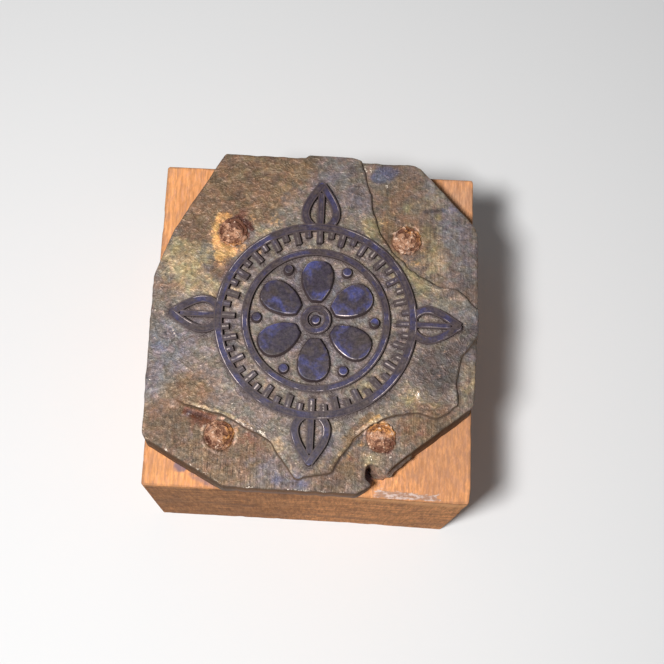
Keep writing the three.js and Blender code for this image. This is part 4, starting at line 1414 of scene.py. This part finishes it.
def rustMaterial():
    p = Painter("nailRustAndShade", rustFinish, "tan")
    blotch, grain = p.noises("blotch", "grain")
    lumps, reach = p.painted("lumps"), p.painted("reach")
    p.cover("lilac", blotch.band(0.54, 0.64) * 0.6)
    for name, tint in (("orangeSide", "orange"), ("darkSide", "brown")):
        p.cover(tint, (p.painted(name) + blotch * 2.0 - 1.0).band(0.25, 0.65) * 0.85)
    p.cover("brown", (lumps + grain * 0.7 - 0.35).band(0.50, 0.38) * 0.8)
    groove = reach.band(0.70, 0.78) * reach.band(0.88, 0.80)
    groove = maths("MAXIMUM", groove, reach.band(0.95, 1.05, 0.0, 0.7)) * blotch.band(0.38, 0.5)
    p.cover("brown", groove * 0.7)
    # pale tops of the lumps: rust bloom with painted glints
    p.cover("bloomAndGlint", (lumps + grain * 0.9 - 0.45).band(0.65, 0.73) * 0.85)
    p.shade(p.painted("tone"))
    return p.close(grain + blotch, 0.2, {"Metallic": 0.1, "Roughness": grain.band(0.3, 0.7, 0.8, 0.45)})


woodFinish = {
    "early": (0.79, 0.35, 0.139),
    "late": (0.64, 0.26, 0.105),
    "pore": (0.42, 0.16, 0.07),
    "pale": (0.87, 0.46, 0.205),
    "pink": (0.66, 0.31, 0.165),
    "endGrain": (0.42, 0.175, 0.062),
    "endLight": (0.62, 0.275, 0.100),
    "endDark": (0.215, 0.085, 0.038),
    "grime": (0.20, 0.10, 0.055),
    "blueInk": (0.145, 0.125, 0.185),
    "paleInk": (0.62, 0.52, 0.48),
    "darkInk": (0.34, 0.205, 0.15),
    "brightEdge": (0.78, 0.40, 0.17),
    "handlingAndShade": (0.40, 0.20, 0.115),
    "streak": (0.43, 0.225, 0.14),
    "dust": (0.64, 0.36, 0.215),
    "shadedDust": (0.46, 0.24, 0.145),
    "pith": (9.0, -46.0),  # axis of the growth rings, across and up, in millimetres
    "ringGap": 3.2,
    "endRingGap": 1.3,
    "endSwing": 6.0,
    "sway": (7.0, 3.0, 0.55, 0.0, (1, 3, 1)),  # noises: size, detail, roughness, distortion, stretch, turn
    "fibre": (1.0, 4.0, 0.65, 0.0, (0.12, 1.5, 0.12)),
    "pores": (1.0, 2.0, 0.6, 0.0, (0.11, 0.9, 0.11)),
    "cloud": (1.6, 4.0, 0.55, 0.0, (1, 6, 1)),
    "flush": (1.0, 4.0, 0.6, 0.0, (0.3, 1.0, 0.3), 0.4),
    "lines": (1.0, 3.0, 0.65, 0.0, (0.2, 1.6, 0.2), 0.3),
    "fine": (1.0, 3.0, 0.7, 0.0, (0.17, 0.55, 0.17)),
    "smear": (1.0, 4.0, 0.7, 0.0, (0.2, 0.9, 0.2)),
    "crumbs": (1.0, 4.0, 0.7, 0.0, (0.6, 0.25, 0.4)),
    "dirt": (1.3, 4.0, 0.65),
    "shadow": (4.0, 4.0),
    "sweep": (1.0, 5.0, 0.6, 0.0, (6, 6, 3.5)),
    "swing": (1.0, 1.0, 0.55, 0.0, (13, 13, 9)),
    "ripple": (1.0, 3.0, 0.55, 0.0, (3, 3, 0.7)),
    "speckle": (1.0, 5.0, 0.65, 0.0, (1.3, 1.3, 2.2)),
    "rays": (1.0, 4.0, 0.7, 0.0, (0.24, 0.24, 2.2), 0.4),
    "dots": (0.17, 2.0, 0.5),
}


def woodMaterial():
    f = woodFinish
    p = Painter("blockWood", f, "endGrain")
    facing = signal(p.tree, "ShaderNodeNewGeometry", output="Normal").axes()
    end, upright = abs(facing[1]).band(0.6, 0.85), abs(facing[2]).band(0.8, 0.5)
    fibre, cloud, lines, dirt, crumbs = p.noises("fibre", "cloud", "lines", "dirt", "crumbs")
    sweep, speckle, dots = p.noises("sweep", "speckle", "dots")
    fromPith = vectorMaths("SUBTRACT", p.place(), (f["pith"][0], 0, f["pith"][1]))
    reach = lengthOf(vectorMaths("MULTIPLY", fromPith, (1, 0, 1)))

    # End grain, on the front and the back
    p.cover("endLight", sweep.band(0.42, 0.66))
    ring = reach + p.noise("swing") * f["endSwing"] + p.noise("ripple") * 0.7
    ring = maths("FRACT", ring / f["endRingGap"])
    p.cover("endDark", ring.band(0.0, 0.8) * ring.band(1.0, 0.8) * sweep.band(0.35, 0.6, 0.12, 0.55))
    p.cover("endDark", speckle.band(0.5, 0.66, 0.0, 0.65))
    p.cover("endLight", speckle.band(0.46, 0.32, 0.0, 0.6))
    p.shade(p.noise("rays").band(0.34, 0.66, 0.74, 1.30))
    p.cover("endDark", dots.band(0.56, 0.7, 0.0, 0.55))
    p.cover("pale", dots.band(0.44, 0.32, 0.0, 0.3))
    p.shade(p.painted("shadedFront").band(0.0, 1.0, 1.14, 0.8))
    endColour = p.colour

    # Long grain, on the top and at the sides
    p.colour = "early"
    ring = maths("FRACT", (reach + p.noise("sway") * 3.5) / f["ringGap"])
    p.cover("late", ring.band(0.2, 0.9) * ring.band(1.0, 0.92) * 0.35)
    p.cover("pale", fibre.band(0.5, 0.72) * 0.6)
    p.cover("late", fibre.band(0.46, 0.3) * 0.6)
    p.cover("late", cloud.band(0.52, 0.72) * 0.5)
    pores = p.noise("pores") + cloud * 0.5 - 0.25
    p.cover("pore", pores.band(0.6, 0.85, 0.0, 0.13))
    p.cover("pink", p.noise("flush").band(0.47, 0.58, 0.0, 0.75))
    p.shade(lines.band(0.36, 0.64, 0.8, 1.15))
    p.shade(p.noise("fine").band(0.38, 0.62, 0.80, 1.16), p.painted("streaked").band(0.0, 1.0, 0.25, 1.0))
    p.cover(endColour, end)

    # Dirt, ink, handling and painted shade
    p.cover("grime", p.patchy("frontStain", dirt, 0.5) * 0.5)
    p.cover("grime", (p.painted("edgeWear") * 0.35 + dirt).band(0.66, 0.95) * 0.5)
    p.cover("endGrain", upright * p.noise("shadow").band(0.35, 0.7, 0.25, 0.6) * (1.0 - end))
    p.cover("brightEdge", p.patchy("brightEdge", dirt, 0.6) * 0.7)
    p.cover("handlingAndShade", p.patchy("handlingAndShade", dirt, 0.4) * 0.5)
    dust = p.mix("shadedDust", "dust", lines.band(0.4, 0.6))
    p.cover(dust, p.painted("dusty") * dirt.band(0.35, 0.65, 0.5, 0.9))
    p.cover("streak", p.noise("smear").band(0.46, 0.7, 0.0, 0.7) * p.painted("streaked"))
    p.cover("blueInk", p.patchy("blueInk", dirt, 0.35) * 0.75)
    pale = p.painted("paleInk")
    p.cover(p.mix("darkInk", "paleInk", crumbs.band(0.46, 0.6)),
            (pale + crumbs * 2.2 - 1.1).band(0.3, 0.75) * pale.band(0.05, 0.4, 0.0, 0.8))
    return p.close(fibre - pores.band(0.6, 0.8) * 0.25, 0.04, {
        "Specular IOR Level": 0.1, "Roughness": fibre.band(0.3, 0.7, 0.65, 0.85)})


ornamentObject = makeOrnament(inkMaterial())
print("ornament:", len(ornamentObject.data.vertices), "points", len(ornamentObject.data.polygons), "faces")
nailObjects = makeNails(rustMaterial())
print("nails:", [len(piece.data.polygons) for piece in nailObjects.values()])
blockObject = makeBlock()
blockObject.data.materials.append(woodMaterial())
print("block:", len(blockObject.data.polygons), "faces")
paintPlate(plateObject)
plateObject.data.materials.append(plateMaterial())
print("painted:", [a.name for a in plateObject.data.attributes if a.domain == "POINT"])

for piece in (plateObject, ornamentObject):
    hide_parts("printing_plate")
    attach(piece, "root")

for name, piece in nailObjects.items():
    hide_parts(name)
    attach(piece, "root")
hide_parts("wood_block")
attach(blockObject, "root")


# Camera, floor and light

photo = {
    "lens": 65.0,
    "look": (0.0227, 0.2625, -0.9647),
    "right": (0.9984, 0.0433, 0.0353),
    "from": (-0.000644, -0.027264, 0.118664),  # metres, here and below
    "floorReach": 2,
    "lampPlace": (-0.042, -0.046, 0.18),
    "lampSize": 0.024,
    "lampPower": 0.365,
    "sky": (0.8, 0.81, 0.83, 1),
    "skyStrength": 0.16,
}

cameraData = bpy.data.cameras.new("photoCamera")
cameraData.lens = photo["lens"]
cameraData.clip_start = 0.001
camera = bpy.data.objects.new("photoCamera", cameraData)
look = Vector(photo["look"]).normalized()
up = Vector(photo["right"]).cross(look).normalized()
camera.matrix_world = Matrix((look.cross(up), up, -look)).transposed().to_4x4()
camera.location = photo["from"]
scene.collection.objects.link(camera)
scene.camera = camera

floorMesh = bpy.data.meshes.new("floor")
low, high = -photo["floorReach"], photo["floorReach"]
floorMesh.from_pydata([(low, low, 0), (high, low, 0), (high, high, 0), (low, high, 0)], [], [(0, 1, 2, 3)])
floor = bpy.data.objects.new("floor", floorMesh)
scene.collection.objects.link(floor)

lampData = bpy.data.lights.new("key", "AREA")
lampData.size = photo["lampSize"]
lampData.energy = photo["lampPower"]
lamp = bpy.data.objects.new("key", lampData)
lamp.location = photo["lampPlace"]
lamp.rotation_euler = (-lamp.location).to_track_quat("-Z", "Y").to_euler()
scene.collection.objects.link(lamp)
world = bpy.data.worlds.new("studio")
scene.world = world
world.use_nodes = True
background = world.node_tree.nodes["Background"]
background.inputs["Color"].default_value = photo["sky"]
background.inputs["Strength"].default_value = photo["skyStrength"]
scene.view_settings.view_transform = "Standard"
